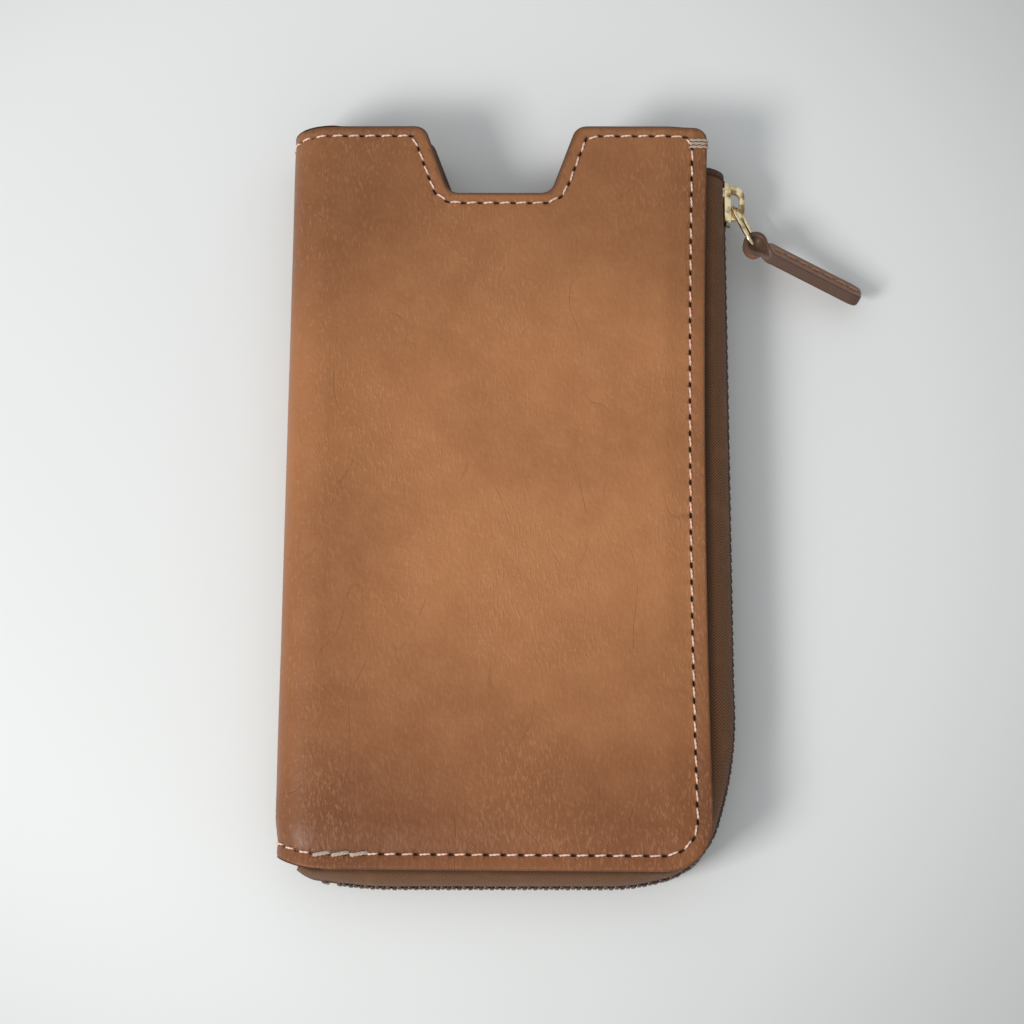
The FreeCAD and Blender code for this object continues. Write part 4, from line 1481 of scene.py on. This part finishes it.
def softened(name, node, width, material, segments=3, painted=False):
    """A copy of a CAD node's mesh with its edges rounded, and with painted cut edges if asked."""
    mesh = bmesh.new()
    mesh.from_mesh(frame["nodes"][node].data)
    bmesh.ops.remove_doubles(mesh, verts=mesh.verts, dist=1e-6)
    bmesh.ops.dissolve_limit(mesh, angle_limit=FLAT_ANGLE, verts=mesh.verts, edges=mesh.edges)
    sharp = [e for e in mesh.edges
             if len(e.link_faces) == 2 and e.calc_face_angle() > SHARP_ANGLE]
    bmesh.ops.bevel(mesh, geom=sharp, offset=width * MM, segments=segments, profile=0.5,
                    affect="EDGES", clamp_overlap=True)
    bmesh.ops.triangulate(mesh, faces=[f for f in mesh.faces if len(f.verts) > 4])
    mesh.normal_update()
    points = [v.co / MM for v in mesh.verts]
    faces = [tuple(v.index for v in f.verts) for f in mesh.faces]
    paint_and_shade = [float(painted and abs(v.normal.z) < 0.6) for v in mesh.verts]
    mesh.free()
    return build(name, points, faces, material, paint_and_shade=paint_and_shade)


slider = softened("slider", "slider_body", 0.16, brass)
on_body(slider, "slider", "slider_brass", "slider_body")
bridge = softened("bridge", "slider_bridge", 0.22, brass)
on_body(bridge, "slider", "slider_brass", "slider_bridge")


def joint_place(name):
    """Where a joint's axis passes, in millimetres."""
    return Vector(next(j["pos_m"] for j in frame["joints"] if j["name"] == name)) / MM


print("ring hangs at", joint_place("ring_swing")[:])

# %% Ring
RING_LENGTH = 9.5
RING_WIDTH = 5.4
RING_WIRE = 0.45
RING_CORNER = 1.9
RING_HEADING = -63.0
RING_LEAN = -24.0
RING_SIDES = 14
RING_PIVOT = joint_place("ring_swing")


def make_ring():
    half = RING_WIDTH / 2
    corners = [(0, -half, RING_CORNER), (RING_LENGTH, -half, RING_CORNER),
               (RING_LENGTH, half, RING_CORNER), (0, half, RING_CORNER)]
    flat = rounded(corners, 0.4)
    lean = Matrix.Rotation(math.radians(90 - RING_LEAN), 3, "X")
    turn = Matrix.Rotation(math.radians(RING_HEADING), 3, "Z")
    path = [RING_PIVOT + turn @ (lean @ Vector((p.x, p.y, 0))) for p in flat]
    upright = turn @ (lean @ Vector((0, 0, 1)))
    verts, faces, uv = [], [], []
    count = len(path)
    for i, point in enumerate(path):
        way = (path[(i + 1) % count] - path[i - 1]).normalized()
        side = way.cross(upright)
        for k in range(RING_SIDES):
            a = math.tau * k / RING_SIDES
            verts.append(point + side * (RING_WIRE * math.cos(a))
                         + upright * (RING_WIRE * math.sin(a)))
            uv.append((i * 0.4, k * 0.2))
        for k in range(RING_SIDES):
            a, b = i * RING_SIDES + k, i * RING_SIDES + (k + 1) % RING_SIDES
            c, d = ((v + RING_SIDES) % (count * RING_SIDES) for v in (a, b))
            faces.append((a, c, d, b))
    return build("ring", verts, faces, brass, uv)


ring = make_ring()
on_body(ring, "pull_ring", "slider_brass", "pull_ring")

# %% [markdown]
# ## The pull
#
# A strap of leather is folded round the ring, glued back to back and sewn. It stands on its
# edge, so from above we see the painted edge, the stitched face and the round eye. We draw the
# folded strap from the side, as an outline with a hole, and give it the strap's width.

# %% Pull
TAB_HEADING = -24.5
TAB_PITCH = 11.0
TAB_LEAN = 38.0
TAB_LENGTH = 25.3
TAB_HALF_WIDTH = 3.1
TAB_HALF_THICKNESS = 1.25
TAB_NECK_HALF = 1.7
TAB_EYE_HOLE = 1.6
TAB_EYE_OUTER = 2.7
TAB_EYE_TIP = 3.1
TAB_END_ROUND = 2.6
TAB_SPACING = 0.7
TAB_PIVOT = joint_place("tab_swing")
eye_turn = Matrix.Rotation(math.radians(TAB_HEADING), 3, "Z")
tab_turn = (eye_turn @ Matrix.Rotation(math.radians(TAB_PITCH), 3, "Y")
            @ Matrix.Rotation(math.radians(TAB_LEAN), 3, "X"))


def tab_half_width(x):
    """The strap is narrow at the eye, wide along its length and rounded at its far end."""
    neck = TAB_NECK_HALF + (TAB_HALF_WIDTH - TAB_NECK_HALF) * smooth(x, 0.6, 3.6)
    end = max(x - (TAB_LENGTH - TAB_END_ROUND), 0.0)
    return neck - (TAB_END_ROUND - math.sqrt(max(TAB_END_ROUND**2 - end**2, 0.0))) * 0.75


def tab_point(x, y, z):
    """A point of the strap: x along it, y across its thickness, z across its width.

    The eye stands upright round the ring, and the strap twists over to its lean behind it."""
    spot = Vector((x, y, z))
    return TAB_PIVOT + (eye_turn @ spot).lerp(tab_turn @ spot, smooth(x, 0.2, 4.2))


def tab_place(x, y, depth):
    return tab_point(x, y, tab_half_width(x) - depth)


def tab_outline():
    """The folded strap from the side: round the eye, along both faces, and the glued end."""
    points = []
    start = math.asin(TAB_HALF_THICKNESS / TAB_EYE_OUTER) + 0.25
    steps = 30
    for k in range(steps + 1):
        a = start + (math.tau - 2 * start) * k / steps
        points.append(Vector((TAB_EYE_OUTER * math.cos(a), TAB_EYE_OUTER * math.sin(a))))
    foot = points[-1]
    blend_run = 2.6
    straight = [(foot.x + blend_run * t, foot.y + (-TAB_HALF_THICKNESS - foot.y) * smooth(t, 0, 1))
                for t in (0.25, 0.5, 0.75, 1.0)]
    end = TAB_LENGTH - 0.5
    x = straight[-1][0] + TAB_SPACING
    while x < end:
        straight.append((x, -TAB_HALF_THICKNESS))
        x += TAB_SPACING
    straight.append((end, -TAB_HALF_THICKNESS + 0.03))
    lower = [Vector(p) for p in straight]
    cap = [Vector((TAB_LENGTH - 0.1, -0.9)), Vector((TAB_LENGTH, -0.3)), Vector((TAB_LENGTH, 0.3)),
           Vector((TAB_LENGTH - 0.1, 0.9))]
    upper = [Vector((p.x, -p.y)) for p in reversed(lower)]
    return points + lower + cap + upper


def make_tab():
    eye = [Vector((TAB_EYE_HOLE * math.cos(-a), TAB_EYE_HOLE * math.sin(-a)))
           for a in np.arange(0.9, math.tau - 0.85, 0.22)]
    eye += [Vector(p) for p in ((1.9, 0.75), (2.5, 0.36), (TAB_EYE_TIP, 0.0), (2.5, -0.36),
                                (1.9, -0.75))]
    return slab("pull_strap", tab_outline(), tab_place, lambda x, y: 2 * tab_half_width(x),
                pull_leather, holes=[eye], spacing=0.55, face_paint=0.9, wall_paint=0.0,
                edge_round=0.28)


strap = make_tab()
on_body(strap, "pull_tab", "pull_leather", "pull_tab")

# %% Pull stitches
TAB_FIRST_STITCH = 4.0
TAB_STITCH_PITCH = 3.0
TAB_STITCHES = 7
TAB_STITCH_STEPS = 12


def make_tab_stitches():
    whole, shades = ([], [], []), []
    for side in (-1, 1):
        for i in range(TAB_STITCHES):
            middle = TAB_FIRST_STITCH + i * TAB_STITCH_PITCH + 1.0
            points, ups = [], []
            for k in range(TAB_STITCH_STEPS + 1):
                share = 2 * k / TAB_STITCH_STEPS - 1
                height = TAB_HALF_THICKNESS + 0.12 - 0.5 * abs(share) ** 5
                points.append(tab_point(middle + 1.15 * share, side * height, 0.0))
                ups.append(tab_turn @ Vector((0, side, 0)))
            parts = [(twisted(points, ups, 0.15, 0.11, 1.5, 1.9 * i), 0.0)]
            # At each end a dark plug of thread stands for the needle hole, as painted shade.
            for end in (-1, 1):
                path = [tab_point(middle + 1.25 * end, side * (TAB_HALF_THICKNESS + h), 0.0)
                        for h in (-0.2, -0.1, 0.015)]
                parts.append((strand(path, 0.36, 10), 1.0))
            for part, shade in parts:
                add_part(whole, part)
                shades += [shade] * len(part[0])
    verts, faces, uv = whole
    return build("pull_stitches", verts, faces, tab_thread, uv, shades)


pull_stitches = make_tab_stitches()
on_body(pull_stitches, "pull_tab", "thread", "pull_tab_stitching")

# %% [markdown]
# ## Inside the case
#
# When the zip is open one sees the lining, three stepped card pockets and the underside of the
# phone's sleeve. These are thin sheets with softened edges. The pieces of the cover are cut into
# short lengths along Y, because a long flat face can't bend.

# %% Inner pieces
BEND_STEP = 6.0


def bendable(name, node, width, material, painted=False):
    """A softened copy of a CAD node, cut every few millimetres along Y."""
    made = softened(name, node, width, material, 2, painted)
    mesh = bmesh.new()
    mesh.from_mesh(made.data)
    y = -HALF_LENGTH + BEND_STEP
    while y < HALF_LENGTH:
        geometry = list(mesh.verts) + list(mesh.edges) + list(mesh.faces)
        bmesh.ops.bisect_plane(mesh, geom=geometry, dist=1e-7, plane_co=(0, y * MM, 0),
                               plane_no=(0, 1, 0))
        y += BEND_STEP
    mesh.to_mesh(made.data)
    mesh.free()
    return made


front_lining = bendable("front_lining_cloth", "front_lining", 0.1, lining_fabric)
on_cover(front_lining, "lining_fabric", "front_lining")
sleeve = bendable("sleeve_leather", "phone_sleeve", 0.3, inner_leather, painted=True)
on_cover(sleeve, "inner_leather", "phone_sleeve")
sleeve_lining = bendable("sleeve_lining_cloth", "phone_sleeve_lining", 0.08, painted_shade_lining)
on_cover(sleeve_lining, "lining_fabric", "phone_sleeve_lining")
back_lining = softened("back_lining_cloth", "back_lining", 0.1, lining_fabric, segments=2)
on_body(back_lining, "back", "lining_fabric", "back_lining")
for number in (1, 2, 3):
    node = "card_pocket_%d" % number
    pocket = softened("pocket_leather_%d" % number, node, 0.15, inner_leather, 2, painted=True)
    on_body(pocket, "back", "inner_leather", node)
